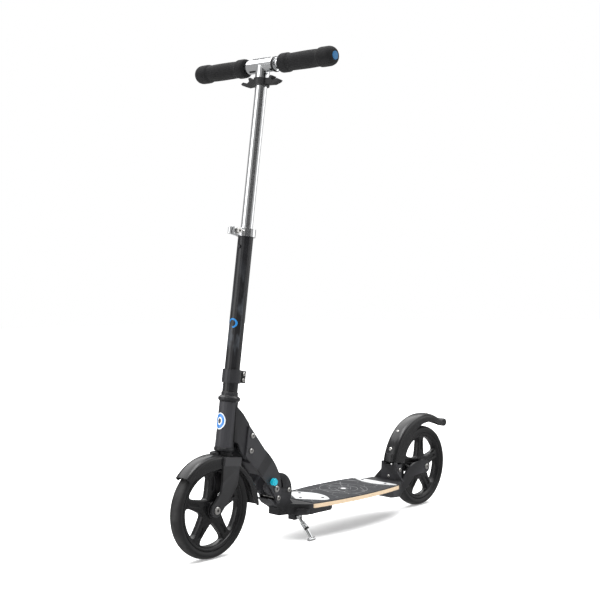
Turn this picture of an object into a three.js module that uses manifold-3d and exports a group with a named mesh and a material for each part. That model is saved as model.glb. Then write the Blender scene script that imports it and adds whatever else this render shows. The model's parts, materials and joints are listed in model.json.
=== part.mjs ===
// Folding kick scooter with two big wheels, in millimetres, +Z up.
// +X is the way it rides and +Y is the rider's left. It leans on its kickstand, as it does when parked.
import * as THREE from "three";
import { mergeVertices } from "three/addons/utils/BufferGeometryUtils.js";
import Module from "manifold-3d";

const wasm = await Module();
wasm.setup();

// ---- Driving sizes ----
const clearance = 0.3; // between pieces that touch, seat or slide
const wheelDiameter = 200;
const wheelBase = 735;
const tyreWidth = 29;
const tyreDepth = 16; // radial depth of the tyre
const bearingRadius = 11;
const bearingWidth = 7;
const axleRadius = 4;
const hubHalf = 13.5; // half width of a hub over its bearings
const headAngle = 6.65; // degrees that the steering axis leans back
const forkOffset = 23.4; // steering axis behind the front axle, at axle height
const parkedLean = 3; // degrees
const deckTop = 81;
const deckThickness = 9.5;
const deckHalfWidth = 74;
const deckFront = -258; // front end of the wooden board, from the front axle
const deckTail = 173; // rear end of the board ahead of the rear axle
const gripThickness = 1;
const plateThickness = 1.4; // bright plates on the deck
const legGap = 1.5; // between the tyre and each fork leg
const legThickness = 5.3;
const armThickness = 5;
const rearArmInner = 20.3; // half the space between the rear arms
const headTubeRadius = 19.5;
const headTubeBore = 17;
const headTubeLow = 122.5; // along the steering axis, from axle height
const headTubeHigh = 215;
const crownTop = 104;
const lowerTubeRadius = 16;
const tubeWall = 1.4;
const lowerTubeTop = 571;
const upperTubeRadius = 12.5;
const upperTubeFoot = 475;
const barHeight = 915.5;
const barTubeRadius = 11;
const barTubeWall = 1.4;
const handleTip = 194; // half the width over the grips
const gripRadius = 20;
const capRadius = 8.8; // blue cap in the mouth of each grip
const leftGripStart = 52;
const rightGripStart = 47;
const foldPivot = { x: -173, z: 120.5 };
const cheekHalf = 19.9; // half width of the nose casting
const sidePlateThickness = 3.7;
const boltHead = 2.9; // height of a button bolt head
const brakeHingeHeight = 104.6;
const brakeHingeAhead = 113.5; // hinge ahead of the rear axle
const kickstandHinge = { x: -243, y: 29, z: 51 };
const kickstandReach = 60; // foot to the left of the middle

// ---- Sizes worked out from them ----
const wheelRadius = wheelDiameter / 2;
const rad = THREE.MathUtils.degToRad;
const tyreHalf = tyreWidth / 2;
const rearAxle = -wheelBase;
const deckRear = rearAxle + deckTail;
const deckUnder = deckTop - deckThickness;
const legInner = tyreHalf + legGap;
const legOuter = legInner + legThickness;
const plateInner = cheekHalf + 0.4;
const plateOuter = plateInner + sidePlateThickness;
const steererRadius = lowerTubeRadius - tubeWall - clearance;
const steererBore = steererRadius - tubeWall;
const tau = Math.PI * 2;

// ---- Finishes ----
const black = () => finish(0x1b1b1d, 0.45, 0.2);
const satinBlack = () => finish(0x232325, 0.55, 0.3);
const plasticBlack = () => finish(0x161617, 0.6, 0);
const rubberBlack = () => finish(0x1c1c1c, 0.75, 0);
const foamBlack = () => finish(0x111112, 0.95, 0);
const chrome = () => finish(0xd8dadc, 0.12, 1);
const steel = () => finish(0xa9abad, 0.35, 0.9);

function finish(color, roughness, metalness) {
  return new THREE.MeshStandardMaterial({ color, roughness, metalness });
}

// ---- Solids ----
// A closed geometry as a solid that can be joined and cut, with its faces pointing out.
function solid(geometry) {
  const bare = geometry.index ? geometry.toNonIndexed() : geometry.clone();
  for (const name of Object.keys(bare.attributes)) {
    if (name !== "position") bare.deleteAttribute(name);
  }
  const merged = mergeVertices(bare, 1e-4);
  const corners = merged.index.array;
  const triangles = [];
  for (let i = 0; i < corners.length; i += 3) {
    const [a, b, c] = [corners[i], corners[i + 1], corners[i + 2]];
    if (a !== b && b !== c && c !== a) triangles.push(a, b, c);
  }
  const build = (list) =>
    new wasm.Manifold(
      new wasm.Mesh({
        numProp: 3,
        vertProperties: merged.attributes.position.array,
        triVerts: new Uint32Array(list),
      }),
    );
  const made = build(triangles);
  return made.volume() < 0 ? build(triangles.reverse()) : made;
}

const joined = (first, ...others) => others.reduce((whole, piece) => whole.add(piece), first);
const cut = (first, ...others) => others.reduce((whole, piece) => whole.subtract(piece), first);

// A named mesh from a solid.
function mesh(name, body, material) {
  const data = body.getMesh();
  const geometry = new THREE.BufferGeometry();
  const points = new THREE.BufferAttribute(new Float32Array(data.vertProperties), 3);
  geometry.setAttribute("position", points);
  geometry.setIndex(new THREE.BufferAttribute(new Uint32Array(data.triVerts), 1));
  geometry.computeVertexNormals();
  const made = new THREE.Mesh(geometry, material);
  made.name = name;
  return made;
}

function group(name, ...children) {
  const made = new THREE.Group();
  made.name = name;
  if (children.length) made.add(...children);
  return made;
}

function box(x0, x1, y0, y1, z0, z1) {
  const made = new THREE.BoxGeometry(x1 - x0, y1 - y0, z1 - z0);
  return solid(made.translate((x0 + x1) / 2, (y0 + y1) / 2, (z0 + z1) / 2));
}

// A straight-sided outline through the given corners.
function outline(points) {
  return new THREE.Shape(points.map(([a, b]) => new THREE.Vector2(a, b)));
}

function extruded(shape, depth, curveSegments = 8) {
  return new THREE.ExtrudeGeometry(shape, { depth, bevelEnabled: false, curveSegments });
}

// A shape drawn in X and Z, from y0 to y1.
function acrossY(shape, y0, y1, curveSegments) {
  return solid(extruded(shape, y1 - y0, curveSegments).rotateX(Math.PI / 2).translate(0, y1, 0));
}

// A shape drawn in X and Y, from z0 to z1.
function upZ(shape, z0, z1, curveSegments) {
  return solid(extruded(shape, z1 - z0, curveSegments).translate(0, 0, z0));
}

// A shape drawn in Y and Z, from x0 to x1.
function alongX(shape, x0, x1, curveSegments) {
  const made = extruded(shape, x1 - x0, curveSegments);
  return solid(made.rotateX(Math.PI / 2).rotateZ(Math.PI / 2).translate(x0, 0, 0));
}

// A round piece about the Y line through x, z; the profile is [radius, y] and closes on itself.
function turnedY(profile, x = 0, z = 0, segments = 24) {
  const points = [...profile, profile[0]].map(([r, h]) => new THREE.Vector2(r, h));
  return solid(new THREE.LatheGeometry(points, segments).translate(x, 0, z));
}

// A round piece about the Z line through x, y; the profile is [radius, z] and closes on itself.
function turnedZ(profile, segments = 20) {
  const points = [...profile, profile[0]].map(([r, h]) => new THREE.Vector2(r, h));
  return solid(new THREE.LatheGeometry(points, segments).rotateX(Math.PI / 2));
}

function rodY(radius, y0, y1, x = 0, z = 0, segments = 16) {
  const made = new THREE.CylinderGeometry(radius, radius, y1 - y0, segments);
  return solid(made.translate(x, (y0 + y1) / 2, z));
}

function rodZ(radius, z0, z1, x = 0, y = 0, segments = 16) {
  const made = new THREE.CylinderGeometry(radius, radius, z1 - z0, segments);
  return solid(made.rotateX(Math.PI / 2).translate(x, y, (z0 + z1) / 2));
}

function rodX(radius, x0, x1, y = 0, z = 0, segments = 16) {
  const made = new THREE.CylinderGeometry(radius, radius, x1 - x0, segments);
  return solid(made.rotateZ(Math.PI / 2).translate((x0 + x1) / 2, y, z));
}

function tubeZ(outer, inner, z0, z1, segments = 20) {
  return turnedZ([[outer, z0], [outer, z1], [inner, z1], [inner, z0]], segments);
}

// A bolt along Y with a round head at each end, a key socket in each head.
function throughBolt(shaft, head, grip, x, z) {
  const [tip, socket, depth] = [grip + boltHead, head * 0.42, boltHead * 0.55];
  const half = [[0, tip - depth], [socket, tip - depth], [socket, tip], [head * 0.85, tip]];
  const right = [...half, [head, grip + boltHead * 0.6], [head, grip], [shaft, grip]];
  const left = right.map(([r, y]) => [r, -y]).reverse();
  return turnedY([...left, ...right].reverse(), x, z, 10);
}

// A polar line round an axle: stops are [degrees from straight ahead, radius].
class PolarCurve extends THREE.Curve {
  constructor(stops) {
    super();
    this.line = new THREE.CatmullRomCurve3(stops.map(([a, r]) => new THREE.Vector3(a, r, 0)));
  }
  getPoint(t, target = new THREE.Vector3()) {
    const { x: degrees, y: radius } = this.line.getPoint(t);
    return target.set(radius * Math.cos(rad(degrees)), 0, radius * Math.sin(rad(degrees)));
  }
}

// ---- Wheels ----
function tyreProfile() {
  const seat = wheelRadius - tyreDepth;
  const side = [[seat, 0.82], [seat + 7, 1], [seat + 12, 0.9], [seat + 14.4, 0.62]];
  const right = [...side, [wheelRadius - 0.35, 0.3]].map(([r, share]) => [r, share * tyreHalf]);
  const left = right.map(([r, y]) => [r, -y]).reverse();
  return [...right, [wheelRadius, 0], ...left];
}

// The opening between two spokes, centred on a given angle.
function spokeWindow(middle, outerRadius) {
  const at = (radius, turn) => [radius * Math.cos(middle + turn), radius * Math.sin(middle + turn)];
  const hubSide = 27;
  const path = new THREE.Path();
  path.moveTo(...at(outerRadius - 4, rad(-27)));
  path.quadraticCurveTo(...at(outerRadius, rad(-27)), ...at(outerRadius, rad(-22)));
  path.absarc(0, 0, outerRadius, middle - rad(22), middle + rad(22), false);
  path.quadraticCurveTo(...at(outerRadius, rad(27)), ...at(outerRadius - 4, rad(27)));
  path.quadraticCurveTo(...at(46, rad(26)), ...at(hubSide + 3, rad(10)));
  path.quadraticCurveTo(...at(hubSide - 1, 0), ...at(hubSide + 3, rad(-10)));
  path.quadraticCurveTo(...at(46, rad(-26)), ...at(outerRadius - 4, rad(-27)));
  return path;
}

function rim() {
  const seat = wheelRadius - tyreDepth - clearance;
  const inner = seat - 9;
  const half = tyreHalf * 0.8;
  const bead = [[seat, -half], [seat, half], [inner + 3, half], [inner, half - 4]];
  const ring = turnedY([...bead, [inner, 4 - half], [inner + 3, -half]], 0, 0, 36);
  const disc = new THREE.Shape(new THREE.EllipseCurve(0, 0, seat - 3, seat - 3).getPoints(30).slice(1));
  const spokes = 5;
  for (let i = 0; i < spokes; i++) {
    disc.holes.push(spokeWindow(rad(90 + (i + 0.5) * 360 / spokes), inner - 1));
  }
  const spokeHalf = 8;
  const plate = acrossY(disc, -spokeHalf, spokeHalf, 3);
  const hub = rodY(bearingRadius + 6.5, -hubHalf, hubHalf, 0, 0, 18);
  const seats = [-1, 1].map((side) => {
    const [y0, y1] = [side * (hubHalf - bearingWidth - 0.1), side * (hubHalf + 1)].sort((a, b) => a - b);
    return rodY(bearingRadius + clearance + 0.1, y0, y1, 0, 0, 18);
  });
  const pockets = [];
  for (let i = 0; i < spokes; i++) {
    const turn = rad(90 + i * 360 / spokes);
    for (const side of [-1, 1]) {
      const pocket = new THREE.CylinderGeometry(1, 1, 4, 8).scale(15, 1, 5.5);
      pocket.translate(inner - 24, side * (spokeHalf + 0.4), 0).rotateY(-turn);
      pockets.push(solid(pocket));
    }
  }
  return cut(joined(ring, plate, hub), rodY(axleRadius + 1.5, -30, 30), ...seats, ...pockets);
}

function bearing(side) {
  const inner = axleRadius + clearance;
  const [y0, y1] = [hubHalf - bearingWidth, hubHalf].map((y) => y * side);
  return turnedY([[bearingRadius, y0], [bearingRadius, y1], [inner, y1], [inner, y0]], 0, 0, 16);
}

function wheel(end) {
  return group(
    end + "_wheel",
    mesh(end + "_tyre", turnedY(tyreProfile(), 0, 0, 38), rubberBlack()),
    mesh(end + "_rim", rim(), black()),
    mesh(end + "_bearing_left", bearing(1), steel()),
    mesh(end + "_bearing_right", bearing(-1), steel()),
  );
}

// ---- Mudguards ----
// A U-shaped shell along a polar line round an axle, its skirts cut off below a second line.
function mudguard(crown, skirt, half, wall, corner, depth, steps) {
  const section = new THREE.Shape();
  section.moveTo(-half, -depth);
  section.lineTo(-half, -corner);
  section.quadraticCurveTo(-half, 0, corner - half, 0);
  section.lineTo(half - corner, 0);
  section.quadraticCurveTo(half, 0, half, -corner);
  section.lineTo(half, -depth);
  section.lineTo(half - wall, -depth);
  section.lineTo(half - wall, -corner);
  section.quadraticCurveTo(half - wall, -wall, half - corner, -wall);
  section.lineTo(corner - half, -wall);
  section.quadraticCurveTo(wall - half, -wall, wall - half, -corner);
  section.lineTo(wall - half, -depth);
  const extrudePath = new PolarCurve(crown);
  const shell = new THREE.ExtrudeGeometry(section, { steps, extrudePath, curveSegments: 3 });
  const top = new PolarCurve(crown.map(([a, r]) => [a, r + 8])).getPoints(12);
  const bottom = new PolarCurve(skirt).getPoints(12).reverse();
  const side = outline([...top, ...bottom].map((p) => [p.x, p.z]));
  return solid(shell).intersect(acrossY(side, -half - 2, half + 2));
}

// ---- Fork, fenders and steering tubes, along the steering axis ----
const hubAhead = forkOffset * Math.cos(rad(headAngle));
const hubRise = -forkOffset * Math.sin(rad(headAngle));

function fork() {
  const crownLow = 86.5;
  const underside = Math.max(hubRise + wheelRadius + 2.2, crownLow);
  const crown = box(-30, 17, -24.3, 24.3, crownLow, crownTop);
  const archway = box(-31, 18, -legInner, legInner, crownLow - 1, underside);
  const leg = new THREE.Shape();
  leg.moveTo(-30, crownLow + 1);
  leg.lineTo(-29.6, 50);
  leg.quadraticCurveTo(-28, 42, hubAhead - 11.6, hubRise - 7.9);
  leg.absarc(hubAhead, hubRise, 14, rad(214), rad(394), false);
  leg.lineTo(16.5, 33);
  leg.quadraticCurveTo(14.6, 42, 15, 54);
  leg.lineTo(17, crownLow + 1);
  const legs = [-1, 1].map((side) => {
    const [y0, y1] = [side * legInner, side * legOuter].sort((a, b) => a - b);
    return acrossY(leg, y0, y1);
  });
  const axleHole = rodY(axleRadius + clearance, -40, 40, hubAhead, hubRise);
  const steererHole = rodZ(steererRadius + clearance, underside - 1, crownTop + 1, 0, 0, 20);
  return cut(joined(cut(crown, archway), ...legs), axleHole, steererHole);
}

function frontAxle() {
  return throughBolt(axleRadius, 8, legOuter + clearance, hubAhead, hubRise);
}

function frontFender() {
  const rise = 11;
  const crown = [[35.5, wheelRadius + rise], [65, wheelRadius + rise], [94, wheelRadius + rise]];
  const skirt = [[46, 89], [72, 81], [94, 84]];
  const guard = mudguard(crown, skirt, 18.6, 2.2, 9, 34, 9);
  const placed = guard.translate([hubAhead, 0, hubRise]);
  return placed.intersect(box(17 + clearance, 200, -40, 40, -50, 200));
}

function rearFenderSkirt() {
  const crown = [[115, 112], [135, 116], [156, 124], [177, 133]];
  const skirt = [[118, 97], [150, 104], [170, 108]];
  const guard = mudguard(crown, skirt, 18.6, 2.2, 9, 34, 8);
  const placed = guard.translate([hubAhead, 0, hubRise]);
  return placed.intersect(box(-200, -30 - clearance, -40, 40, -50, 200));
}

function lowerTube() {
  const tube = tubeZ(lowerTubeRadius, lowerTubeRadius - tubeWall, 234.8, lowerTubeTop);
  return cut(tube, rodX(4.3, 5, 30, 0, buttonHeight, 16));
}

const buttonHeight = 533;
const clampLow = 253.5;
const clampHigh = 281;
const collarLow = 555;
const collarHigh = lowerTubeTop + 0.5;
const skewerAhead = 32;

function lowerClamp() {
  const bore = lowerTubeRadius + clearance;
  const ring = rodZ(19.5, clampLow, clampHigh, 0, 0, 20);
  const ears = box(-35, -12, -7, 7, clampLow + 1, clampHigh - 1);
  const slit = box(-40, -10, -1, 1, clampLow - 1, clampHigh + 1);
  const holes = clampScrewHeights.map((z) => rodY(2.8, -20, 20, -27.5, z, 12));
  return cut(joined(ring, ears), rodZ(bore, clampLow - 1, clampHigh + 1, 0, 0, 20), slit, ...holes);
}

const clampScrewHeights = [clampLow + 7.5, clampHigh - 7.5];

function releaseCollar() {
  const middle = (collarLow + collarHigh) / 2;
  const ring = rodZ(20, collarLow, collarHigh, 0, 0, 20);
  const ears = box(12, 42, -7, 7, collarLow + 1, collarHigh - 1);
  const slit = box(10, 50, -1.3, 1.3, collarLow - 1, collarHigh + 1);
  const bore = rodZ(lowerTubeRadius + clearance, collarLow - 1, collarHigh + 1, 0, 0, 20);
  return cut(joined(ring, ears), bore, slit, rodY(2.8, -20, 20, skewerAhead, middle, 14));
}

function releaseSkewer() {
  const middle = (collarLow + collarHigh) / 2;
  const head = rodY(6.5, 7 + clearance, 13, skewerAhead, middle, 6);
  const socket = rodY(2.6, 10, 14, skewerAhead, middle, 12);
  return cut(joined(rodY(2.5, -7, 8, skewerAhead, middle, 14), head), socket);
}

// The lever pivots beside the collar's ears and wraps round the tube to a flared tip.
const leverPivot = { x: skewerAhead, y: -13.4 };

function releaseLever() {
  const [low, high] = [collarLow + 2, collarHigh - 2];
  const barrel = rodZ(5.8, low, high, leverPivot.x, leverPivot.y, 20);
  const band = new THREE.SplineCurve([
    new THREE.Vector2(leverPivot.x - 2, leverPivot.y - 3),
    new THREE.Vector2(16, -22.5),
    new THREE.Vector2(0, -25.2),
    new THREE.Vector2(-16, -21.8),
    new THREE.Vector2(-28, -15.5),
    new THREE.Vector2(-37, -14.5),
  ]);
  const thickness = 3.6;
  const along = band.getPoints(20);
  const sides = along.map((p, i) => {
    const tangent = band.getTangent(i / 20);
    const normal = new THREE.Vector2(-tangent.y, tangent.x).multiplyScalar(thickness / 2);
    return [p.clone().add(normal), p.clone().sub(normal)];
  });
  const edge = [...sides.map((s) => s[0]), ...sides.map((s) => s[1]).reverse()];
  const blade = upZ(new THREE.Shape(edge), low + 0.5, high - 0.5);
  return joined(barrel, blade);
}

function steering() {
  const up = (low, high, outer, inner) => tubeZ(outer, inner, low, high);
  const screws = clampScrewHeights.map((z, i) =>
    mesh(["clamp_screw_lower", "clamp_screw_upper"][i], throughBolt(2.5, 4.2, 7.2, -27.5, z), steel()),
  );
  const lever = group("lever_hinge", mesh("release_lever", releaseLever(), chrome()));
  const button = rodX(3.9, lowerTubeRadius - tubeWall - 0.2, lowerTubeRadius + 1.9, 0, buttonHeight, 16);
  const bushRadius = lowerTubeRadius - tubeWall - clearance;
  const front = wheel("front");
  front.position.set(hubAhead, 0, hubRise);
  return group(
    "steering",
    mesh("fork", fork(), satinBlack()),
    mesh("steerer", up(crownTop - 4, clampHigh, steererRadius, steererBore), steel()),
    mesh("front_axle", frontAxle(), steel()),
    mesh("front_fender", frontFender(), plasticBlack()),
    mesh("front_fender_skirt", rearFenderSkirt(), plasticBlack()),
    mesh("headset_nut", up(227.8, 234.4, 17.5, steererRadius + clearance), black()),
    mesh("lower_tube", lowerTube(), satinBlack()),
    mesh("lower_clamp", lowerClamp(), black()),
    ...screws,
    mesh("guide_bush", up(545, lowerTubeTop, bushRadius, upperTubeRadius + clearance), plasticBlack()),
    mesh("release_collar", releaseCollar(), chrome()),
    mesh("release_skewer", releaseSkewer(), steel()),
    lever,
    mesh("height_button", button, steel()),
    front,
    handlebar(),
  );
}

// ---- T-bar ----
const crossHalf = 38;
const socketTop = barHeight - barTubeRadius - 5;

function tPiece() {
  const cross = rodY(14.2, -crossHalf, crossHalf, 0, barHeight, 18);
  const sleeve = rodZ(14.8, 888, barHeight - 2, 0, 0, 20);
  const rib = box(-7, 7, -26, 26, barHeight + 9, barHeight + 15.6);
  const bore = rodY(barTubeRadius + clearance, -60, 60, 0, barHeight, 18);
  const socket = rodZ(upperTubeRadius + clearance, 870, socketTop + clearance, 0, 0, 20);
  return cut(joined(cross, sleeve, rib), bore, socket);
}

// The plastic clip below the T holds both grips by their tubes when they are pulled off.
function gripClip() {
  const ring = tubeZ(17.5, upperTubeRadius + clearance, 872.5, 887.5);
  const claw = [
    [15, 886.5], [24, 887], [29, 892], [34, 890.5], [31, 884], [36, 880.5], [48, 883.5], [53.5, 880.5],
  ];
  const heel = [[50, 877], [37, 873], [28, 873.5], [15, 874]];
  const arms = [-1, 1].map((side) => {
    const points = [...claw, ...heel].map(([y, z]) => [y * side, z]);
    return alongX(outline(points), -6.5, 6.5);
  });
  return joined(ring, ...arms);
}

// A pull-out handle: a tube that slides in the T, its foam grip and its end cap.
function handle(side, start) {
  const name = side > 0 ? "left" : "right";
  const [outer, inner] = [barTubeRadius, barTubeRadius - barTubeWall];
  const end = handleTip - 5;
  const bore = outer + clearance;
  const big = gripRadius;
  const mouth = capRadius + clearance;
  const grip = [
    [bore, start], [big - 3, start], [big, start + 4], [big, start + 20], [big - 2, start + 25],
    [big - 1.6, start + 70], [big - 2, end - 37], [big, end - 32], [big, end - 8],
    [big - 1.5, end - 2.5], [big - 5, end + 2], [mouth + 1.5, end + 4.4], [mouth, end + 4.4],
    [mouth, end + clearance], [bore, end + clearance],
  ];
  const cap = [
    [0, end - 8], [inner - clearance, end - 8], [inner - clearance, end - 1], [capRadius, end - 1],
    [capRadius, end + 4.5], [6, end + 5], [0, end + 5],
  ];
  const place = (profile) => profile.map(([r, y]) => [r, y * side]);
  const tube = [[outer, 7], [outer, end], [inner, end], [inner, 7]];
  return group(
    name + "_handle",
    mesh(name + "_bar", turnedY(place(tube), 0, barHeight, 18), chrome()),
    mesh(name + "_grip", turnedY(place(grip), 0, barHeight, 18), foamBlack()),
    mesh(name + "_end_cap", turnedY(place(cap), 0, barHeight, 18), finish(0x2b6fb0, 0.4, 0)),
  );
}

function handlebar() {
  const tube = tubeZ(upperTubeRadius, upperTubeRadius - tubeWall, upperTubeFoot, socketTop);
  return group(
    "t_bar",
    mesh("upper_tube", tube, chrome()),
    mesh("t_piece", tPiece(), chrome()),
    mesh("grip_clip", gripClip(), plasticBlack()),
    handle(1, leftGripStart),
    handle(-1, rightGripStart),
  );
}

// ---- Neck: head tube, gusset and the side plates that fold about the pivot ----
const stopPin = { x: -178.7, z: 100.1 };
const lockPin = { x: -158.8, z: 138 };
const plateBolts = [{ x: -95.3, z: 241.4 }, { x: -92, z: 210.3 }];
const foldTravel = 82;
const badgeHalfWidth = 12;
const badgeHalfHeight = 17;

// Turns a solid made along the steering axis into the neck's own frame.
function alongSteering(body) {
  return body.rotate([0, -headAngle, 0]).translate([-forkOffset, 0, wheelRadius]);
}

function headTube() {
  const barrel = alongSteering(rodZ(headTubeRadius, headTubeLow, headTubeHigh, 0, 0, 20));
  const web = outline([
    [-50, 307.5], [-70.7, 289.5], [-87.4, 269.5], [-98.5, 250], [-112, 234], [-112, 203],
    [-97, 190], [-82, 193.6], [-66.5, 210.5], [-58, 229], [-46, 234],
  ]);
  const hollow = outline([
    [-60, 291], [-80, 269], [-107, 232], [-107, 190], [-90, 170], [-60, 205], [-53, 226], [-50, 240],
  ]);
  const gusset = cut(acrossY(web, -cheekHalf, cheekHalf), acrossY(hollow, -14, 14));
  const bore = alongSteering(rodZ(headTubeBore, headTubeLow - 30, headTubeHigh + 30, 0, 0, 20));
  const ends = [[headTubeLow - 60, headTubeLow], [headTubeHigh, headTubeHigh + 60]];
  const trims = ends.map(([low, high]) => alongSteering(rodZ(24, low, high, 0, 0, 20)));
  const holes = plateBolts.map((p) => rodY(3.3, -40, 40, p.x, p.z, 16));
  return cut(joined(barrel, gusset), bore, ...trims, ...holes);
}

function sidePlate(side) {
  const shape = new THREE.Shape();
  shape.moveTo(-85.4, 262);
  shape.lineTo(-79.5, 215);
  shape.lineTo(-76.5, 201);
  shape.lineTo(-114.2, 165.6);
  shape.lineTo(-149.8, 129.8);
  shape.lineTo(-168.2, 105.5);
  shape.lineTo(-176, 88.5);
  shape.lineTo(-185, 88.5);
  shape.quadraticCurveTo(-190, 112, -188, 128);
  shape.quadraticCurveTo(-186, 147, -172, 169);
  shape.quadraticCurveTo(-158, 190, -134, 209.5);
  shape.lineTo(-89, 261);
  const [y0, y1] = [side * plateInner, side * plateOuter].sort((a, b) => a - b);
  const holes = [
    ...plateBolts.map((p) => rodY(3.3, -40, 40, p.x, p.z, 16)),
    rodY(5.3, -40, 40, foldPivot.x, foldPivot.z, 20),
    rodY(3.3, -40, 40, stopPin.x, stopPin.z, 16),
    rodY(3.3, -40, 40, lockPin.x, lockPin.z, 16),
  ];
  return cut(acrossY(shape, y0, y1), ...holes);
}

// A round badge that hugs the front of the head tube.
function badge() {
  const skin = tubeZ(headTubeRadius + 1.5, headTubeRadius + clearance, 150, 200, 48);
  const oval = rodX(badgeHalfHeight, 5, 40, 0, 174.8, 28).scale([1, badgeHalfWidth / badgeHalfHeight, 1]);
  return alongSteering(skin.intersect(oval));
}

function neck() {
  const bearingBore = steererRadius + clearance;
  const lower = [
    [bearingBore, 104.6], [17, 104.6], [17, 113], [21, 115.5], [21, 120], [19.8, 122.2],
    [headTubeBore - clearance, 122.2], [headTubeBore - clearance, 132], [bearingBore, 132],
  ];
  const upper = [
    [bearingBore, 205], [headTubeBore - clearance, 205], [headTubeBore - clearance, 215.3],
    [19.5, 215.3], [23, 219], [23, 223.5], [18, 227.4], [bearingBore, 227.4],
  ];
  const spacer = outline([[-107, 181], [-131, 154], [-141.5, 160.5], [-137, 195], [-118.5, 195]]);
  const pin = joined(
    rodY(3, 17.2, plateOuter + 1, lockPin.x, lockPin.z, 16),
    turnedY([[0, 24.4], [6, 24.4], [7.6, 26], [7.6, 33], [6, 34.8], [0, 34.8]], lockPin.x, lockPin.z),
  );
  const plateBolt = ({ x, z }) => throughBolt(3, 5.5, plateOuter + clearance, x, z);
  return group(
    "neck",
    mesh("head_tube", headTube(), satinBlack()),
    mesh("side_plate_left", sidePlate(1), satinBlack()),
    mesh("side_plate_right", sidePlate(-1), satinBlack()),
    mesh("plate_bolt_upper", plateBolt(plateBolts[0]), steel()),
    mesh("plate_bolt_lower", plateBolt(plateBolts[1]), steel()),
    mesh("stop_bolt", throughBolt(3, 5.2, plateOuter + clearance, stopPin.x, stopPin.z), steel()),
    mesh("neck_spacer", acrossY(spacer, -cheekHalf, cheekHalf), satinBlack()),
    mesh("lower_headset", alongSteering(turnedZ(lower)), black()),
    mesh("upper_headset", alongSteering(turnedZ(upper)), black()),
    mesh("badge", badge(), finish(0x2f83c9, 0.3, 0.2)),
    group("lock", mesh("lock_knob", pin, finish(0x1fb3c4, 0.35, 0.1))),
  );
}

// ---- Deck and folding nose ----
// A plan outline of the deck: front half width, widest half width, rear half width.
function deckPlan(front, rear, frontHalf, wideHalf, rearHalf) {
  const shape = new THREE.Shape();
  const bulge = 2 * wideHalf - (frontHalf + rearHalf) / 2;
  const middle = (front + rear) / 2;
  shape.moveTo(front, -frontHalf);
  shape.quadraticCurveTo(middle, -bulge, rear, -rearHalf);
  shape.lineTo(rear, rearHalf);
  shape.quadraticCurveTo(middle, bulge, front, frontHalf);
  return shape;
}

// A slot that a pin follows round the fold pivot, in degrees from straight ahead.
function arcSlot(radius, from, to, half, y0, y1) {
  const shape = new THREE.Shape();
  const at = (r, a) => [foldPivot.x + r * Math.cos(rad(a)), foldPivot.z + r * Math.sin(rad(a))];
  shape.absarc(foldPivot.x, foldPivot.z, radius + half, rad(from), rad(to), false);
  shape.absarc(...at(radius, to), half, rad(to), rad(to + 180), false);
  shape.absarc(foldPivot.x, foldPivot.z, radius - half, rad(to), rad(from), true);
  shape.absarc(...at(radius, from), half, rad(from + 180), rad(from + 360), false);
  return acrossY(shape, y0, y1, 6);
}

function polarFromPivot(pin) {
  const [dx, dz] = [pin.x - foldPivot.x, pin.z - foldPivot.z];
  return { radius: Math.hypot(dx, dz), angle: THREE.MathUtils.radToDeg(Math.atan2(dz, dx)) };
}

const cheekBoltAt = { x: -216.9, z: 111.7 };

function noseCasting() {
  const platformLow = deckUnder - 13;
  const lobe = new THREE.Shape();
  lobe.moveTo(-222, platformLow);
  lobe.lineTo(-212, platformLow + 3.5);
  lobe.lineTo(-191, 75);
  lobe.lineTo(-173, 85.5);
  lobe.lineTo(-157, 103);
  lobe.lineTo(-145, 124.5);
  lobe.absarc(-185, 110, 42.5, rad(20), rad(208), false);
  lobe.lineTo(-232, deckTop);
  lobe.lineTo(-232, platformLow);
  const cheeks = acrossY(lobe, -cheekHalf, cheekHalf, 12);
  const channel = box(-240, -140, -10, 10, 97, 170);
  const flank = [[-193, 15], [-210, 19], [-226, 29], [-238, 42], [-248, 52], [deckFront, 57]];
  const platform = outline([...flank.map(([x, y]) => [x, -y]), ...[...flank].reverse()]);
  const tongue = outline([
    [-225, -40], [-240, -53], [-318, -56], [-336, -46], [-336, 46], [-318, 56], [-240, 53], [-225, 40],
  ]);
  const stop = polarFromPivot(stopPin);
  const lock = polarFromPivot(lockPin);
  const slack = 3;
  const slots = [
    arcSlot(stop.radius, stop.angle - slack, stop.angle + foldTravel + slack, 3.4, -25, 25),
    arcSlot(lock.radius, lock.angle - slack, lock.angle + foldTravel + 43, 3.4, 16.5, 25),
  ];
  return cut(
    joined(
      cut(cheeks, channel),
      upZ(platform, platformLow, deckTop),
      upZ(tongue, platformLow, deckUnder - clearance),
    ),
    box(-400, deckFront - 0.1, -90, 90, deckUnder - clearance, deckTop + 1),
    rodY(5.3, -40, 40, foldPivot.x, foldPivot.z, 20),
    rodY(3.3, -40, 40, cheekBoltAt.x, cheekBoltAt.z, 16),
    ...slots,
  );
}

// The bright plates lie in openings of the grip sheet; room is how much an opening is wider.
function frontPlate(z0, z1, room = 0) {
  const shape = new THREE.Shape();
  const [nose, tail, wide] = [-264 + room, -342 - room, 52 + room];
  shape.moveTo(nose, 0);
  shape.lineTo(-296 + room, wide - 6);
  shape.quadraticCurveTo(-306, wide + 6, -318, wide);
  shape.quadraticCurveTo(tail + 1, 28, tail, 0);
  shape.quadraticCurveTo(tail + 1, -28, -318, -wide);
  shape.quadraticCurveTo(-306, -wide - 6, -296 + room, 6 - wide);
  return upZ(shape, z0, z1, 6);
}

function rearPlate(z0, z1, room = 0) {
  const shape = new THREE.Shape();
  const back = deckRear + 1.5 - room;
  shape.moveTo(back, -60 - room);
  shape.lineTo(back, 60 + room);
  shape.lineTo(back + 9 + room, 60 + room);
  shape.quadraticCurveTo(back + 53 + 2 * room, 0, back + 9 + room, -60 - room);
  return upZ(shape, z0, z1, 10);
}

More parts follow.
